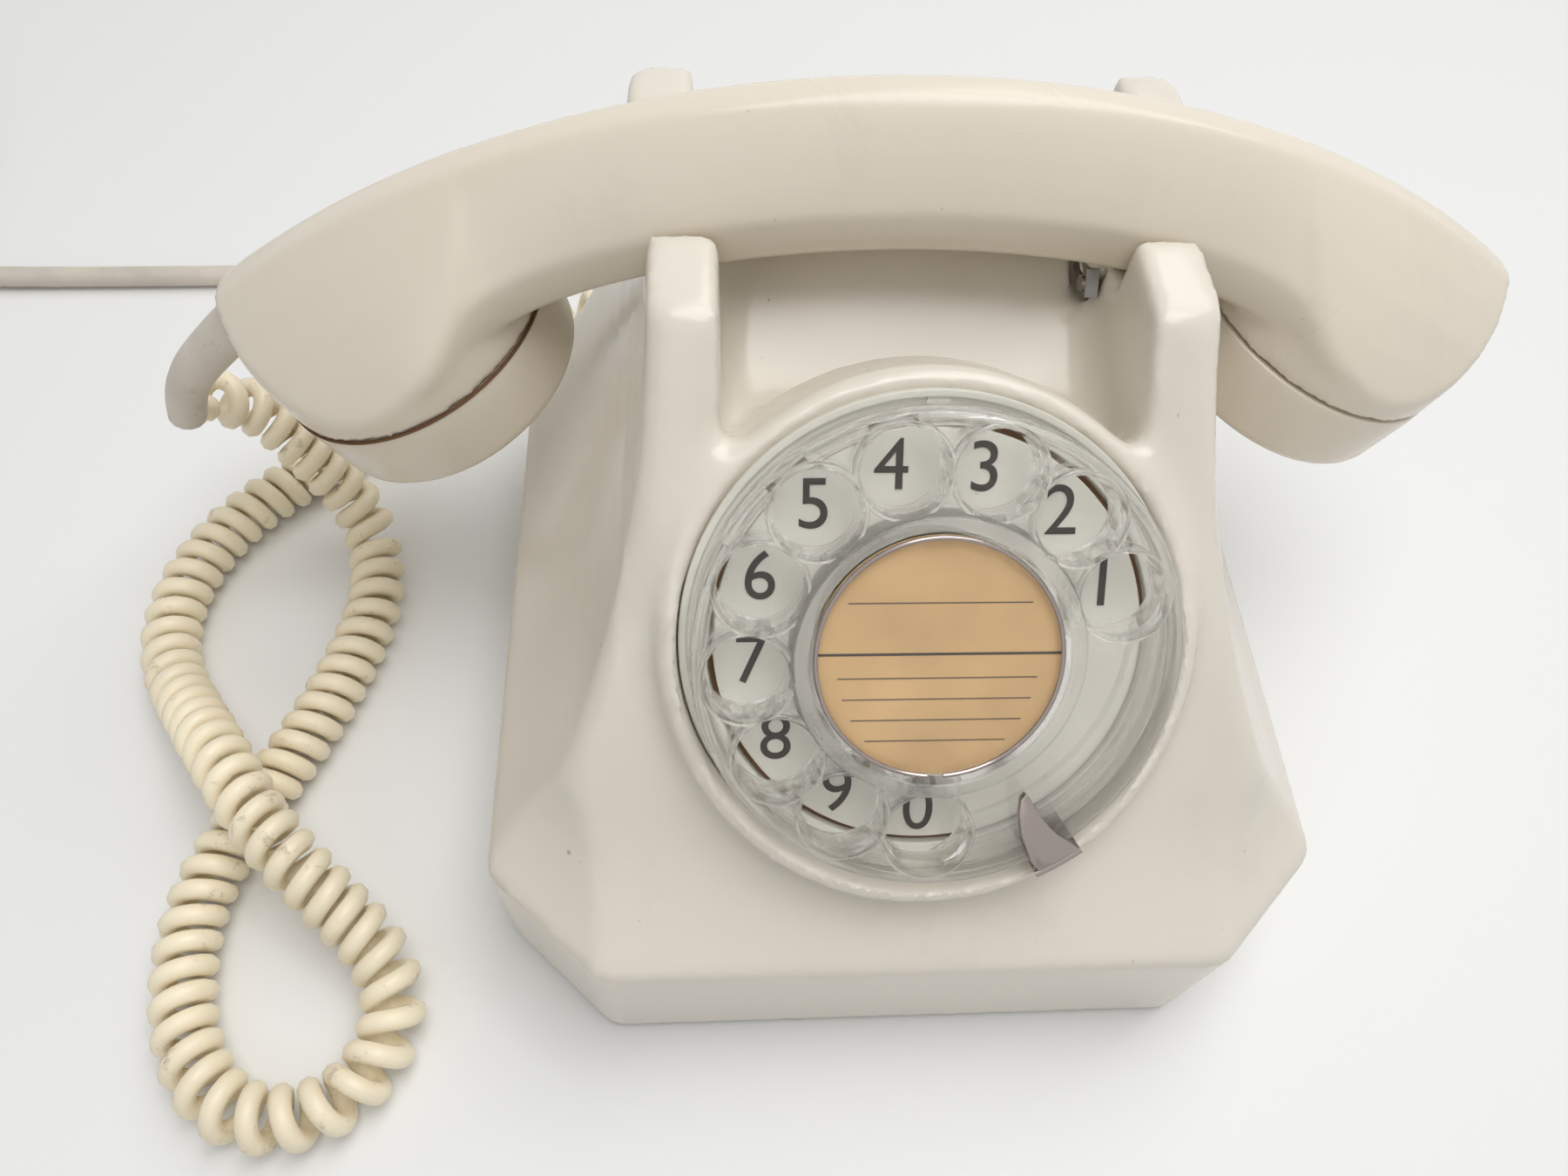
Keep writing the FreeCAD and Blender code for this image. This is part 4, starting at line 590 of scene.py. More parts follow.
def housing_corners(z, inset):
    """The eight corners of the housing at a height; the cut corners fade towards the horns."""
    z_in = max(RIM, z)
    cove = max(0.0, (RIM + COVE - z_in) / COVE)
    front = panel_y(z_in) - panel_y(RIM) * cove ** 2 + inset
    lean = REAR_TOP + (HORN_TOP - z_in) * REAR_LEAN
    rear_cove = max(0.0, (RIM + REAR_COVE - z_in) / REAR_COVE)
    rear = lean + (DEPTH - REAR_TOP - (HORN_TOP - RIM) * REAR_LEAN) * rear_cove ** 2 - inset
    share = max(0.1, 1 - (z_in - RIM) / CORNER_FADE)
    half = half_width(z_in) - inset
    cut_x, cut_y = (SIDE_HALF - FRONT_HALF) * share, CORNER_DEPTH * share
    right = [(half - cut_x, front), (half, front + cut_y), (half, rear - cut_y), (half - cut_x, rear)]
    left = [(-x, y) for x, y in reversed(right)]
    return [(x, y, z) for x, y in right + left]


def stack(levels, inset=0.0):
    """A closed form through the housing's outlines at (height, corner rounding) levels."""
    return loft([[(*corner, softness) for corner in housing_corners(z, inset)] for z, softness in levels])


def hook_bar_frame():
    """Frame on the middle of the cradle bar whose z runs along it, square to the bow."""
    angle = math.asin((HORN_INNER + BAR_SHARE * (HORN_HALF - HORN_INNER)) / ARCH_UNDER)
    reach = ARCH_UNDER - BAR_GAP - BAR_RADIUS
    middle = Vector((math.sin(angle) * reach, BAR_Y, ARCH.z + math.cos(angle) * reach))
    return Matrix.Translation(middle) @ Matrix.Rotation(math.pi / 2 + angle, 4, "Y")


def valley_tool():
    """What is cut away between the horns: a floor that bends up to the crest, with round edges along it."""
    bend = [(FLOOR_BEND, FLOOR_Z)]
    swing = math.atan2(2 * (CREST_Z - FLOOR_Z) * (CREST_Y - FLOOR_BEND),
                       (CREST_Y - FLOOR_BEND) ** 2 - (CREST_Z - FLOOR_Z) ** 2)
    radius = (CREST_Y - FLOOR_BEND) / math.sin(swing)
    for step in range(1, 11):
        turn = swing * step / 10
        bend.append((FLOOR_BEND + radius * math.sin(turn), FLOOR_Z + radius * (1 - math.cos(turn))))
    outline = [(-20, FLOOR_Z)] + bend + [(DEPTH + 20, CREST_Z), (DEPTH + 20, 160), (-20, 160)]
    valley = slab([(-HORN_INNER, y, z) for y, z in outline], (2 * HORN_INNER, 0, 0))
    floor = [e for e in valley.edges
             if abs(e.verts[0].co.x - e.verts[1].co.x) < 1e-4 and max(v.co.z for v in e.verts) < CREST_Z + 1]
    bmesh.ops.bevel(valley, geom=floor, offset=6, segments=5, profile=0.5, affect="EDGES", material=-1)
    return valley


def saddle_tool():
    """The ring that clears the bow of the handset where it lies on the horns."""
    across = Matrix.Translation(ARCH) @ Matrix.Rotation(math.pi / 2, 4, "X")
    channel = drum(ARCH_UNDER - SADDLE_GAP + 40, -SADDLE_HALF, SADDLE_HALF, across, 160)
    core = drum(ARCH_UNDER - SADDLE_GAP, -20, 20, across, 160)
    return carve(channel, core, "DIFFERENCE")


def dial_collar(steps):
    """The raised collar round the dial, cut at a slant so that it runs out into the sloping front."""
    lean = math.asin((PANEL_DEEP - COLLAR_DEEP) / (2 * COLLAR_RADIUS))
    collar = drum(COLLAR_RADIUS, -34, 6, Matrix(), steps)
    whole = collar.verts[:] + collar.edges[:] + collar.faces[:]
    cut = bmesh.ops.bisect_plane(collar, geom=whole, dist=1e-5, plane_co=(0, -COLLAR_RADIUS, -COLLAR_DEEP),
                                 plane_no=(0, math.sin(lean), math.cos(lean)), clear_outer=True)
    rim = [item for item in cut["geom_cut"] if isinstance(item, bmesh.types.BMEdge)]
    bmesh.ops.edgeloop_fill(collar, edges=rim)
    bmesh.ops.recalc_face_normals(collar, faces=collar.faces)
    return place(collar, DIAL)


def make_housing(form_sizes):
    """The moulded shell: flared tower, cradle valley, dial collar and well, then its hollow."""
    steps = form_sizes.wheel_steps
    rises = (1.2, 3, 5, 8, 12, 16, 20, 25, 31, 38, 46, 54, 62, 70, 76, HORN_TOP - RIM)
    levels = [1.2, RIM - 0.3] + [RIM + rise for rise in rises]
    form = stack([(level, CORNER_ROUND) for level in levels])
    form = carve(form, valley_tool(), "DIFFERENCE")
    form = carve(form, saddle_tool(), "DIFFERENCE")
    form = carve(form, dial_collar(steps), "UNION")
    form = carve(form, drum(WELL_RADIUS, -WELL_DEEP, 60, DIAL, steps), "DIFFERENCE")
    bar = hook_bar_frame().translation
    slot = box((bar.x - 2.1, 105.2, 91.7), (bar.x + 2.1, 125.8, 130))
    groove = box((HORN_INNER - 3.6, 106.4, bar.z - 6), (HORN_HALF + 8, 116.0, 130))
    form = carve(form, together(slot, groove), "DIFFERENCE", True)

    form = soften(form, form_sizes.soft_edge * 1000, 4)
    to_dial = DIAL.inverted()
    roll = [v for v in form.verts if 43.4 < (to_dial @ v.co).xy.length < 52 and (to_dial @ v.co).z > -16]
    horns = [v for v in form.verts if v.co.z > 84 and abs(v.co.x) < HORN_HALF + 4
             and not (v.co.x > HORN_INNER - 5 and 104 < v.co.y < 119)]
    for vert in horns:
        rear = ease((vert.co.y - REAR_FROM) / REAR_OVER) * ease((vert.co.z - RISE_FROM) / RISE_OVER)
        vert.co += Vector((math.copysign(REAR_WIDER, vert.co.x), 0, REAR_HIGHER)) * rear
    for verts, passes in ((roll, 24), (horns, 14)):
        for _ in range(passes):
            smooth(form, verts)
    inner = stack([(z, 1) for z in (-3, RIM, 42, 50, 58, 66, 74, 83)], WALL)
    inner = carve(inner, drum(25, -40, -9, DIAL, 64), "UNION")
    form = carve(form, inner, "DIFFERENCE")
    settle(form, "housing_skin", "telephone", "ivory", ["housing"])


def hole_turns():
    return [math.radians(HOLE_FIRST + HOLE_STEP * index) for index in range(10)]


def make_finger_wheel(steps):
    """The clear wheel: skirt, sunk web, hub ring and ten tubes with rounded mouths."""
    profile = [(4.6, -3.6), (38.3, -3.6), (38.3, -9.0, 0.4), (40.0, -9.0, 0.4), (40.0, 0.0, 0.9),
               (38.0, 0.0, 0.7), (37.6, -1.6, 0.5), (24.4, -1.6, 0.6), (23.6, 1.4, 0.9), (21.2, 1.2, 0.6),
               (20.6, -1.6), (4.6, -1.6)]
    wheel = lathe(profile, Matrix(), steps, closed=True)
    tubes, bores = [], []
    for turn in hole_turns():
        spot = Matrix.Translation((HOLE_CIRCLE * math.cos(turn), HOLE_CIRCLE * math.sin(turn), 0))
        tubes.append(lathe([(0, -8.2), (8.1, -8.2, 0.5), (8.1, 0.1, 0.6), (0, 0.1)], spot, 56))
        bore = [(0, -12), (HOLE_RADIUS, -12), (HOLE_RADIUS, -0.9), (7.6, 0.4), (7.6, 4), (0, 4)]
        bores.append(lathe(bore, spot, 56))
    wheel = carve(wheel, together(*tubes), "UNION", True)
    wheel = carve(wheel, together(*bores), "DIFFERENCE", True)
    settle(place(wheel, DIAL), "finger_wheel_clear", "dial", "clear", ["finger_wheel"], sharp=28)


def make_dial_face(sizes):
    """Number plate, its figures and the stepped edge of the dial."""
    disc = [(19, -11.2), (36.2, -11.2), (36.2, -PLATE_DEEP, 0.3), (19, -PLATE_DEEP)]
    plate = lathe(disc, DIAL, sizes.wheel_steps, closed=True)
    settle(plate, "number_plate_skin", "telephone", "dial_grey", ["number_plate"])
    edge = [(20, -13.1), (41.9, -13.1), (41.9, -9.6, 0.3), (40.6, -9.6, 0.3), (40.4, -10.9),
            (39.2, -10.9, 0.2), (39.0, -10.2, 0.2), (37.4, -10.2, 0.2), (37.2, -11.9), (20, -11.9)]
    ring = lathe(edge, DIAL, sizes.wheel_steps, closed=True)
    settle(ring, "dial_frame_skin", "telephone", "dial_grey", ["dial_frame"])
    # A dark ring on the floor of the groove between the plate and its frame: painted shade of the groove,
    # with some dirt.
    line = [(36.3, -11.9), (37.1, -11.9), (37.1, -11.6), (36.3, -11.6)]
    dirt = lathe(line, DIAL, sizes.wheel_steps, closed=True)
    settle(dirt, "plate_groove_shade_and_dirt", "telephone", "grime_and_groove_shade", slot="dial_grey")
    figures = []
    for figure, turn in zip("1234567890", hole_turns()):
        words = bpy.data.curves.new("figure", "FONT")
        words.body, words.size, words.align_x, words.align_y = figure, 1.0, "CENTER", "CENTER"
        words.extrude = 0.01
        made = evaluated(shown("figure", words))
        heights = [v.co.y for v in made.verts]
        scale = sizes.figure_height * 1000 / (max(heights) - min(heights))
        across = sum(v.co.x for v in made.verts) / len(made.verts)
        middle = Vector((across, (max(heights) + min(heights)) / 2, 0))
        spot = Vector((FIGURE_CIRCLE * math.cos(turn), FIGURE_CIRCLE * math.sin(turn), -PLATE_DEEP + 0.02))
        seat = Matrix.Translation(spot) @ Matrix.Scale(scale, 4) @ Matrix.Translation(-middle)
        figures.append(place(made, seat))
    ink = together(*figures)
    settle(place(ink, DIAL), "figures", "telephone", "ink", slot="dial_grey")


def make_label():
    """Paper card with plain rules under a clear disc, held by a thin split ring."""
    card = drum(LABEL_RADIUS, -1.6, -1.3, DIAL, 96)
    settle(card, "label_paper", "dial", "paper", ["label_card"])
    rules = [box((-20, 0.35, -1.3), (20, 0.8, -1.27))]
    for y in (9.0, -3.6, -7.2, -10.8, -14.4):
        half = 0.82 * math.sqrt(LABEL_RADIUS ** 2 - y ** 2)
        rules.append(box((-half, y, -1.3), (half, y + 0.2, -1.27)))
    settle(place(together(*rules), DIAL), "label_rules", "dial", "ink", slot="paper")
    disc = lathe([(0, -1.2), (20.1, -1.2), (20.1, -0.3, 0.2), (0, -0.3)], DIAL, 96)
    settle(disc, "label_disc", "dial", "clear_cover", ["label_cover"], slot="clear")
    gap = math.radians(8)
    turns = [math.pi * index / 5 for index in range(10)]
    wire = [(20.0 + 0.4 * math.cos(turn), 0.1 + 0.4 * math.sin(turn)) for turn in turns]
    start = DIAL @ Matrix.Rotation(-math.pi / 2 + gap / 2, 4, "Z")
    ring = lathe(wire, start, 120, closed=True, angle=2 * math.pi - gap)
    settle(ring, "label_spring", "dial", "chrome", ["label_ring"])


def make_finger_stop():
    """The chromed fin over the edge of the wheel and the leg that carries it."""
    outline = [(14.8, -22.6), (15.8, -23.9), (17.6, -26.8), (20.0, -29.6), (24.6, -32.8), (21.5, -34.9),
               (18.0, -36.8), (16.5, -35.1), (14.5, -30.2), (13.8, -26.3), (14.0, -23.6)]
    fin = slab([(x, y, 0.6) for x, y in outline], (0, 0, 1.7), 0.3)
    leg = lathe([(40.7, -11.2), (41.9, -11.2), (41.9, 2.2, 0.4), (40.7, 2.2, 0.4)],
                Matrix.Rotation(math.radians(-65), 4, "Z"), 8, closed=True, angle=math.radians(12))
    stop = together(fin, leg)
    settle(place(stop, DIAL), "finger_stop_chrome", "telephone", "chrome", ["finger_stop"])


def head_frame(side):
    """Frame of a head's seam whose z runs from the cap into the head."""
    seam = Matrix.Translation((side * HEAD_REACH, ARCH.y, HEAD_HEIGHT))
    return SLIP @ seam @ Matrix.Rotation(side * HEAD_TILT, 4, "Y")


def bow_section(half, low):
    """Corners across the bow, sideways and outwards: a narrow ridge and a roof that falls to full sides."""
    fall = max(ROOF_LEAST * (ARCH_TOP - ARCH_UNDER), ROOF_FALL * half)
    side = []
    for share in (0, 0.25, 0.5, 0.75, 1):
        out = share * (1 + 0.16 * (1 - share))
        down = share * (1 - 0.28 * (1 - share))
        side.append((RIDGE_HALF + out * (half - RIDGE_HALF), ARCH_TOP - down * fall))
    belly = ARCH_TOP - fall
    for share, width in ((0.4, 0.985), (0.75, 0.92), (1, 0.72)):
        side.append((width * half, belly - share * (belly - low)))
    return side + [(-y, r) for y, r in reversed(side)]


def bow(half_at, low, reach):
    """The handset's bow about the middle of its arch, with a half width that may change along it."""
    outlines = []
    for step in range(-48, 49):
        angle = reach / ARCH_TOP * step / 48
        turn = Matrix.Translation(ARCH) @ Matrix.Rotation(angle, 4, "Y")
        outlines.append([tuple(turn @ Vector((0, y, r))) for y, r in bow_section(half_at(angle), low)])
    return loft(outlines)


def bow_angle(spot):
    """Angle of a spot along the bow, from its middle."""
    return math.atan2(spot.x - ARCH.x, spot.z - ARCH.z)


def grip_half(angle):
    """Half width of the grip at an angle along the bow: it flares into the round heads."""
    inward = max(0.0, HEAD_ANGLE - abs(angle)) * FLARE_RADIUS
    return GRIP_HALF + (HEAD_RADIUS - HEAD_INSET - GRIP_HALF) / (1 + (inward / FLARE_LONG) ** 4)


def head_half(angle):
    """Half width of the roof over the heads, which runs on into the grip."""
    return grip_half(angle) + ROOF_WIDER


def make_handset(sizes):
    """The bowed grip that swells into two round heads, with a chamber behind each cap."""
    unslip = SLIP.inverted()
    forms = [bow(grip_half, ARCH_UNDER, 1.1 * HEAD_REACH)]
    for side in (-1, 1):
        spot = unslip @ head_frame(side)
        roof = bow(head_half, 128, 1.8 * HEAD_REACH)
        forms.append(carve(drum(HEAD_RADIUS, 0, 85, spot, 96), roof, "INTERSECT"))
    form = soften(together(*forms), sizes.soft_grip * 1000, 4)
    seams = [(unslip @ head_frame(side)).inverted() for side in (-1, 1)]
    neck = [v for v in form.verts if NECK_FROM < abs(math.degrees(bow_angle(v.co))) < NECK_TO
            and min((seam @ v.co).z for seam in seams) > 4 and (v.co - ARCH).xz.length < ARCH_TOP - 5]
    heads = [v for v in form.verts if abs(v.co.x) > 50 and (v.co - ARCH).xz.length < ARCH_TOP - 3
             and min((seam @ v.co).z for seam in seams) > 1.5]
    for verts, passes in ((neck, NECK_PASSES), (heads, HEAD_PASSES)):
        for _ in range(passes):
            smooth(form, verts)
    for side in (-1, 1):
        chamber = drum(CHAMBER_RADIUS, -1, CHAMBER_DEEP, unslip @ head_frame(side), 64)
        form = carve(form, chamber, "DIFFERENCE")
    settle(place(form, SLIP), "handset_skin", "handset", "handset_ivory", ["handset_shell"])


def make_caps(steps):
    """Screwed caps with sound holes, and the line of old dirt in the left seam."""
    face = -CAP_HIGH - SEAM
    for side, name in ((-1, "mouthpiece_cap"), (1, "earpiece_cap")):
        profile = [(0, face), (20, face), (27.2, face, 3.2), (HEAD_RADIUS, -3.0), (HEAD_RADIUS, -SEAM, 0.4),
                   (25.0, -SEAM), (25.0, 5), (23.2, 5), (23.2, face + 2.6), (0, face + 2.6)]
        cap = lathe(profile, Matrix(), steps)
        holes = [drum(1.3, face - 2, face + 4, Matrix(), 16)]
        for index in range(6):
            turn = math.pi * index / 3
            spot = Matrix.Translation((10 * math.cos(turn), 10 * math.sin(turn), 0))
            holes.append(drum(1.3, face - 2, face + 4, spot, 16))
        cap = carve(cap, together(*holes), "DIFFERENCE")
        settle(place(cap, head_frame(side)), name + "_skin", "handset", "handset_ivory", [name])
    line = [(27.6, -0.28), (28.32, -0.28), (28.32, -0.02), (27.6, -0.02)]
    ring = lathe(line, head_frame(-1), steps, closed=True)
    settle(ring, "seam_dirt", "handset", "grime_and_groove_shade", slot="handset_ivory")


def make_boot():
    """The rubber boot of the curly cord, thinner towards its end."""
    points = points_along(line_through(BOOT_ROUTE))
    radii = [1.0 - BOOT_TAPER * index / (len(points) - 1) for index in range(len(points))]
    form = tube_along(points, BOOT_RADIUS, 5, radii)
    settle(form, "cord_boot_skin", "handset", "grey_rubber", ["cord_boot"], moved=False)


def make_hook_bar():
    """The pale cradle bar with round ends."""
    profile = [(0, -BAR_HALF), (BAR_RADIUS, -BAR_HALF, 1.6), (BAR_RADIUS, BAR_HALF, 1.6), (0, BAR_HALF)]
    bar = lathe(profile, hook_bar_frame(), 40)
    settle(bar, "hook_bar_skin", "hook", "ivory_bar", ["hook_bar"])


def curl_points(points, sizes):
    """A helix round a line: further apart in a bend, so that its inside has room, and in the pulled part."""
    spans = [0.0]
    for a, b in zip(points, points[1:]):
        spans.append(spans[-1] + (b - a).length)
    total = spans[-1]
    ways = [(b - a).normalized() for a, b in zip(points, points[1:])]
    ways.append(ways[-1])
    side = ways[0].orthogonal().normalized()
    sides = []
    for way in ways:
        side = (side - way * side.dot(way)).normalized()
        sides.append(side)
    bends = [0.0]
    for index in range(1, len(points) - 1):
        reach = max(1e-6, (spans[index + 1] - spans[index - 1]) / 2)
        bends.append(ways[index - 1].angle(ways[index], 0.0) / reach)
    bends.append(bends[-1])
    near = [bends[max(0, spot - BEND_REACH):spot + BEND_REACH + 1] for spot in range(len(bends))]
    bends = [sum(few) / len(few) for few in near]
    curls, turn, along, index = [], 0.0, 0.0, 0
    step = sizes.curl_spacing / CURL_STEPS
    while along < total:
        while index < len(spans) - 2 and spans[index + 1] < along:
            index += 1
        share = (along - spans[index]) / max(1e-9, spans[index + 1] - spans[index])
        middle = points[index].lerp(points[index + 1], share)
        way = ways[index].lerp(ways[index + 1], share).normalized()
        out = sides[index].lerp(sides[index + 1], share)
        out = (out - way * out.dot(way)).normalized()
        radius = sizes.curl_radius * ease((min(along, total - along) - LEAD) / LEAD_EASE)
        pulled = min(1.0, max(0.0, (along - PULLED_FROM) / PULLED_OVER))
        room = max(TIGHTEST, 1 - sizes.curl_radius * bends[index])
        spacing = sizes.curl_spacing / room * (1 + PULLED_MORE * pulled)
        curls.append(middle + (out * math.cos(turn) + way.cross(out) * math.sin(turn)) * radius)
        turn += 2 * math.pi * step / spacing
        along += step
    return curls


def make_curly_cord(sizes):
    """The curly cord between the boot and its gland."""
    curls = curl_points(points_along(line_through(CURLY_ROUTE)), sizes)
    form = tube_along(curls, sizes.curl_wire / 2, 2)
    cord = settle(form, "curly_cord_skin", None, "cream_cord", ["curly_cord"], moved=False, sharp=80)
    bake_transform(cord)


def coil_spot(turn):
    """Middle of the line cord after a number of turns of its flat double coil."""
    radius = COIL_INNER + COIL_STEP * abs(turn - COIL_TURNS / 2)
    angle = -2 * math.pi * (turn + 0.25)
    z = COIL_LOW + COIL_STEP * ease((turn - COIL_TURNS / 2 + 0.25) / 0.5)
    return (COIL_MIDDLE[0] + radius * math.cos(angle), COIL_MIDDLE[1] + radius * math.sin(angle), z)


def make_line_cord(sizes):
    """The line cord behind the housing, its spare length in a flat double coil, and the plug at its end."""
    coil = [coil_spot(step / 16) for step in range(COIL_TURNS * 16 + 1)]
    end = coil[-1]
    tail = [(end[0] - COIL_TAIL * share, end[1], end[2]) for share in (0.3, 0.65, 1.03)]
    route = LINE_ROUTE + coil + tail
    curve = line_through(route)
    curve.bevel_depth, curve.bevel_resolution, curve.use_fill_caps = sizes.line_wire / 2, 4, True
    curve.resolution_u = 6
    cord = shown("line_cord_skin", curve)
    curve.materials.append(FINISHES["grey_rubber"])
    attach(cord, "telephone")
    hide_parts("line_cord", "line_cord_coil")

    spot = Matrix.Translation((end[0] - COIL_TAIL, end[1], end[2])) @ Matrix.Rotation(-math.pi / 2, 4, "Y")
    barrel = [(0, 0), (4.2, 0, 0.6), (5.2, 6)]
    for ridge in range(4):
        z = 8 + 3.2 * ridge
        wider = 0.6 * ridge
        barrel += [(7.6 + wider, z, 0.4), (7.6 + wider, z + 1.6, 0.4), (6.8 + wider, z + 2.0)]
    barrel += [(10.2, 21.5, 1.2), (10.2, PLUG_LONG, 1.0), (0, PLUG_LONG)]
    plug = settle(lathe(barrel, spot, 64), "plug_skin", "telephone", "grey_rubber", ["plug_body"])
    hold = Matrix.Translation((*COIL_MIDDLE, 0)) @ Matrix.Rotation(TIE_TURN, 4, "Z")
    band = carve(box(*TIE_OUTSIDE, 0.3), box(*TIE_INSIDE), "DIFFERENCE")
    tie = settle(place(band, hold), "coil_tie_skin", "telephone", "tie", ["coil_tie"])
    line = points_along(line_through(route))


KEPT = {
    "rubber": ["rubber_feet"],
    "black_plastic": ["switch_block", "terminal_strip", "transmitter", "receiver", "dial_back_plate"],
    "dial_grey": ["dial_screws"],
    "winding": ["ringer_coils", "induction_coil"],
    "can": ["capacitor", "base_plate"],
    "brass": ["gong_left", "gong_right", "main_gear", "pulse_wheel", "governor_wheel", "terminal_screws",
              "plug_pins"],
    "grey_rubber": ["curly_cord_gland", "line_cord_gland"],
    "chrome": ["hook_screw"],
}


def dress_kept_parts():
    """Gives every part that stays as it is the surface of its kind; the rest are steel."""
    names = {node: finish for finish, nodes in KEPT.items() for node in nodes}
    for node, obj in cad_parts.items():
        obj.data.materials.clear()
        obj.data.materials.append(FINISHES[names.get(node, "steel")])


def make_floor():
    """A pale floor that fades into the white surround."""
    ground = bmesh.new()
    bmesh.ops.create_grid(ground, x_segments=1, y_segments=1, size=4.0)
    floor = as_object(ground, "floor")
    pale = (0.82, 0.82, 0.81)
    white = surface("floor_white", pale, 0.6, Emission_Color=(1, 1, 1, 1))
    where = add_node(white, "ShaderNodeTexCoord")
    away = add_node(white, "ShaderNodeVectorMath", operation="LENGTH")
    white.node_tree.links.new(where.outputs["Object"], away.inputs[0])
    far = range_from(white, away.outputs["Value"], 0.8, 2.2, 0.0, 1.0)
    paint(white, "Base Color", ramp_from(white, far, [(0, pale), (1, (0, 0, 0))]))
    paint(white, "Emission Strength", far)
    floor.data.materials.append(white)
    return floor


def make_lights(stage):
    """Three soft lights that face the telephone."""
    lights = []
    for name, spot, power, size in (("key_light", (0.6, 0.7, 1.4), stage.key_power, 1.1),
                                    ("fill_light", (-0.5, -1.1, 1.0), stage.fill_power, 1.2),
                                    ("top_light", (0.1, -0.06, 1.0), stage.top_power, 0.6)):
        lamp = bpy.data.lights.new(name, "AREA")
        lamp.energy, lamp.size = power, size
        light = shown(name, lamp)
        light.location = spot
        light.rotation_euler = (Vector((0, 0, 0.05)) - Vector(spot)).to_track_quat("-Z", "Y").to_euler()
        lights.append(light)
    return lights


def make_surround():
    """A world that is white where it is seen or mirrored, and dimmer as a light."""
    world = bpy.data.worlds.new("surround")
    world.use_nodes = True
    bpy.context.scene.world = world
    nodes, link = world.node_tree.nodes, world.node_tree.links.new
    back = nodes["Background"]
    back.inputs["Color"].default_value = (1, 1, 1, 1)
    rays = nodes.new("ShaderNodeLightPath")
    seen = rays.outputs["Is Camera Ray"]
    for kind in ("Is Glossy Ray", "Is Transmission Ray"):
        either = nodes.new("ShaderNodeMath")
        either.operation = "MAXIMUM"
        link(seen, either.inputs[0])
        link(rays.outputs[kind], either.inputs[1])
        seen = either.outputs[0]
    strength = nodes.new("ShaderNodeMapRange")
    strength.inputs["To Min"].default_value, strength.inputs["To Max"].default_value = 0.3, 1.0
    link(seen, strength.inputs["Value"])
    link(strength.outputs["Result"], back.inputs["Strength"])


def make_camera(stage):
    """The camera of the photograph."""
    lens = bpy.data.cameras.new("camera")
    lens.sensor_width, lens.lens = 36, stage.camera_lens
    lens.clip_start = 0.01
    camera = shown("camera", lens)
    right = Vector((0.99781, -0.04128, 0.05104))
    up = Vector((0.00783, 0.8475, 0.53195))
    back_way = Vector((-0.06523, -0.52943, 0.84529))
    turned = Matrix((right, up, back_way)).transposed().to_4x4()
    spot = HOUSING_FRONT + Vector(stage.camera_place)
    camera.matrix_world = Matrix.Translation(spot) @ turned
    bpy.context.scene.camera = camera


def make_stage(stage):
    """Floor, lights, surround and camera."""
    floor = make_floor()
    lights = make_lights(stage)
    make_surround()
    make_camera(stage)
    bpy.context.scene.view_settings.view_transform = "Standard"


class TELEPHONE_OT_stage(bpy.types.Operator):
    """Set up the floor, light and camera, and make the surfaces"""
    bl_idname = "telephone.stage"
    bl_label = "Stage and surfaces"

    def execute(self, context):
        FINISHES.update(make_finishes(context.scene.telephone_colours))
        make_stage(context.scene.telephone_stage)
        return {"FINISHED"}


class TELEPHONE_OT_curly_cord(bpy.types.Operator):
    """Wind the curly cord between the handset and the housing"""
    bl_idname = "telephone.curly_cord"
    bl_label = "Curly cord"

    def execute(self, context):
        make_curly_cord(context.scene.telephone_form)
        return {"FINISHED"}


class TELEPHONE_OT_line_cord(bpy.types.Operator):
    """Lay the line cord with its coil and plug"""
    bl_idname = "telephone.line_cord"
    bl_label = "Line cord"

    def execute(self, context):
        make_line_cord(context.scene.telephone_form)
        return {"FINISHED"}


class TELEPHONE_OT_boot(bpy.types.Operator):
    """Draw the rubber boot of the curly cord"""
    bl_idname = "telephone.boot"
    bl_label = "Cord boot"

    def execute(self, context):
        make_boot()
        return {"FINISHED"}


class TELEPHONE_OT_housing(bpy.types.Operator):
    """Mould the housing with its horns, valley, collar and well"""
    bl_idname = "telephone.housing"
    bl_label = "Housing"

    def execute(self, context):
        make_housing(context.scene.telephone_form)
        return {"FINISHED"}


class TELEPHONE_OT_dial_face(bpy.types.Operator):
    """Make the number plate, its figures and the edge of the dial"""
    bl_idname = "telephone.dial_face"
    bl_label = "Dial face"

    def execute(self, context):
        make_dial_face(context.scene.telephone_form)
        return {"FINISHED"}


class TELEPHONE_OT_finger_wheel(bpy.types.Operator):
    """Make the clear wheel with its ten finger holes"""
    bl_idname = "telephone.finger_wheel"
    bl_label = "Finger wheel"

    def execute(self, context):
        make_finger_wheel(context.scene.telephone_form.wheel_steps)
        return {"FINISHED"}


class TELEPHONE_OT_label(bpy.types.Operator):
    """Make the paper label with its rules and ring"""
    bl_idname = "telephone.label"
    bl_label = "Label"

    def execute(self, context):
        make_label()
        return {"FINISHED"}


class TELEPHONE_OT_finger_stop(bpy.types.Operator):
    """Make the chromed fin"""
    bl_idname = "telephone.finger_stop"
    bl_label = "Finger stop"

    def execute(self, context):
        make_finger_stop()
        return {"FINISHED"}


class TELEPHONE_OT_handset(bpy.types.Operator):
    """Mould the bowed grip and its two heads"""
    bl_idname = "telephone.handset"
    bl_label = "Handset"

    def execute(self, context):
        make_handset(context.scene.telephone_form)
        return {"FINISHED"}


class TELEPHONE_OT_caps(bpy.types.Operator):
    """Turn the two screwed caps and draw their sound holes"""
    bl_idname = "telephone.caps"
    bl_label = "Caps"

    def execute(self, context):
        make_caps(context.scene.telephone_form.wheel_steps)
        return {"FINISHED"}


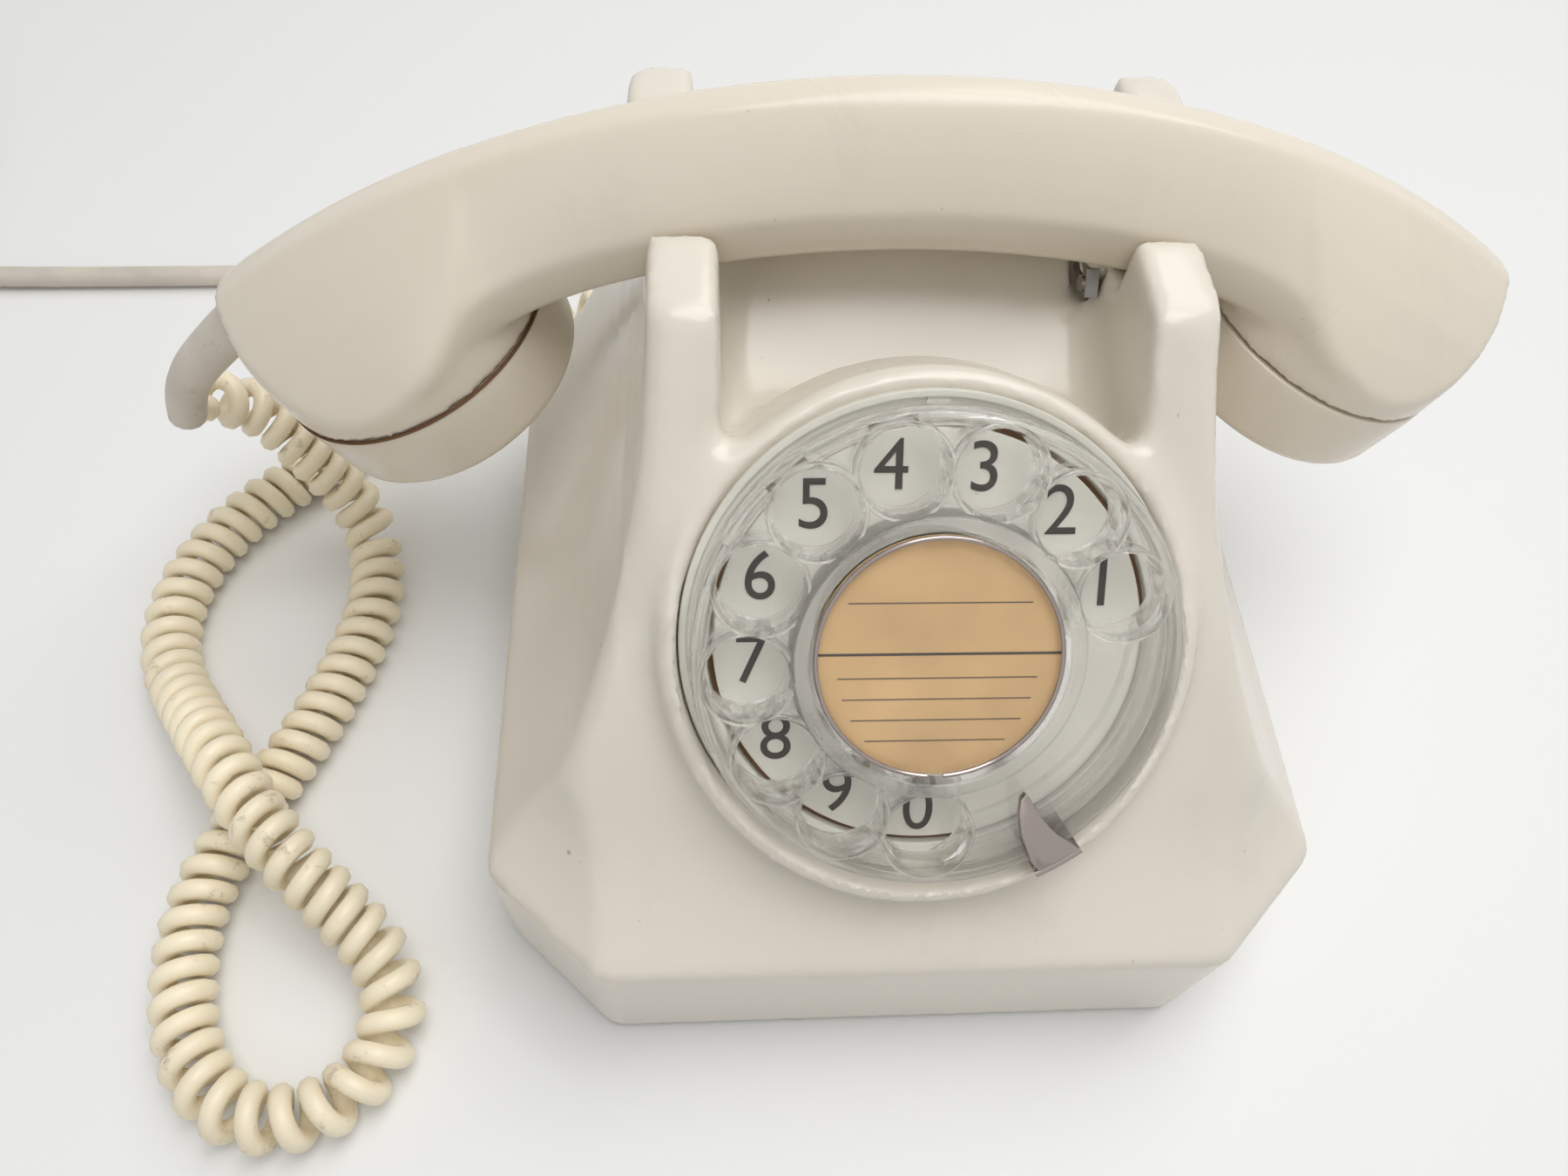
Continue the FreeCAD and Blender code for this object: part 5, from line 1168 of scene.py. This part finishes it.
class TELEPHONE_OT_hook_bar(bpy.types.Operator):
    """Make the cradle bar under the handset"""
    bl_idname = "telephone.hook_bar"
    bl_label = "Cradle bar"

    def execute(self, context):
        make_hook_bar()
        return {"FINISHED"}


class TELEPHONE_OT_kept_parts(bpy.types.Operator):
    """Give the parts that stay as they are their surfaces"""
    bl_idname = "telephone.kept_parts"
    bl_label = "Kept parts"

    def execute(self, context):
        dress_kept_parts()
        return {"FINISHED"}


OPERATORS = (
    TELEPHONE_OT_stage, TELEPHONE_OT_curly_cord, TELEPHONE_OT_line_cord,
    TELEPHONE_OT_boot, TELEPHONE_OT_housing, TELEPHONE_OT_dial_face,
    TELEPHONE_OT_finger_wheel, TELEPHONE_OT_label, TELEPHONE_OT_finger_stop,
    TELEPHONE_OT_handset, TELEPHONE_OT_caps, TELEPHONE_OT_hook_bar,
    TELEPHONE_OT_kept_parts,
)


class TELEPHONE_PT_panel(bpy.types.Panel):
    """Lists the steps of the telephone"""
    bl_idname = "TELEPHONE_PT_panel"
    bl_label = "Telephone"
    bl_space_type = "VIEW_3D"
    bl_region_type = "UI"
    bl_category = "Telephone"

    def draw(self, context):
        for step in OPERATORS:
            self.layout.operator(step.bl_idname)


GROUPS = {
    "telephone_form": TelephoneForm,
    "telephone_colours": TelephoneColours,
    "telephone_stage": TelephoneStage,
}


def register():
    for kind in (*GROUPS.values(), *OPERATORS, TELEPHONE_PT_panel):
        bpy.utils.register_class(kind)
    for name, kind in GROUPS.items():
        setattr(bpy.types.Scene, name, PointerProperty(type=kind))


def unregister():
    for name in GROUPS:
        delattr(bpy.types.Scene, name)
    for kind in reversed((*GROUPS.values(), *OPERATORS, TELEPHONE_PT_panel)):
        bpy.utils.unregister_class(kind)


def main():
    register()
    bpy.ops.telephone.stage()
    bpy.ops.telephone.curly_cord()
    bpy.ops.telephone.line_cord()
    bpy.ops.telephone.boot()
    bpy.ops.telephone.housing()
    bpy.ops.telephone.dial_face()
    bpy.ops.telephone.finger_wheel()
    bpy.ops.telephone.label()
    bpy.ops.telephone.finger_stop()
    bpy.ops.telephone.handset()
    bpy.ops.telephone.caps()
    bpy.ops.telephone.hook_bar()
    bpy.ops.telephone.kept_parts()


if __name__ == "__main__":
    main()
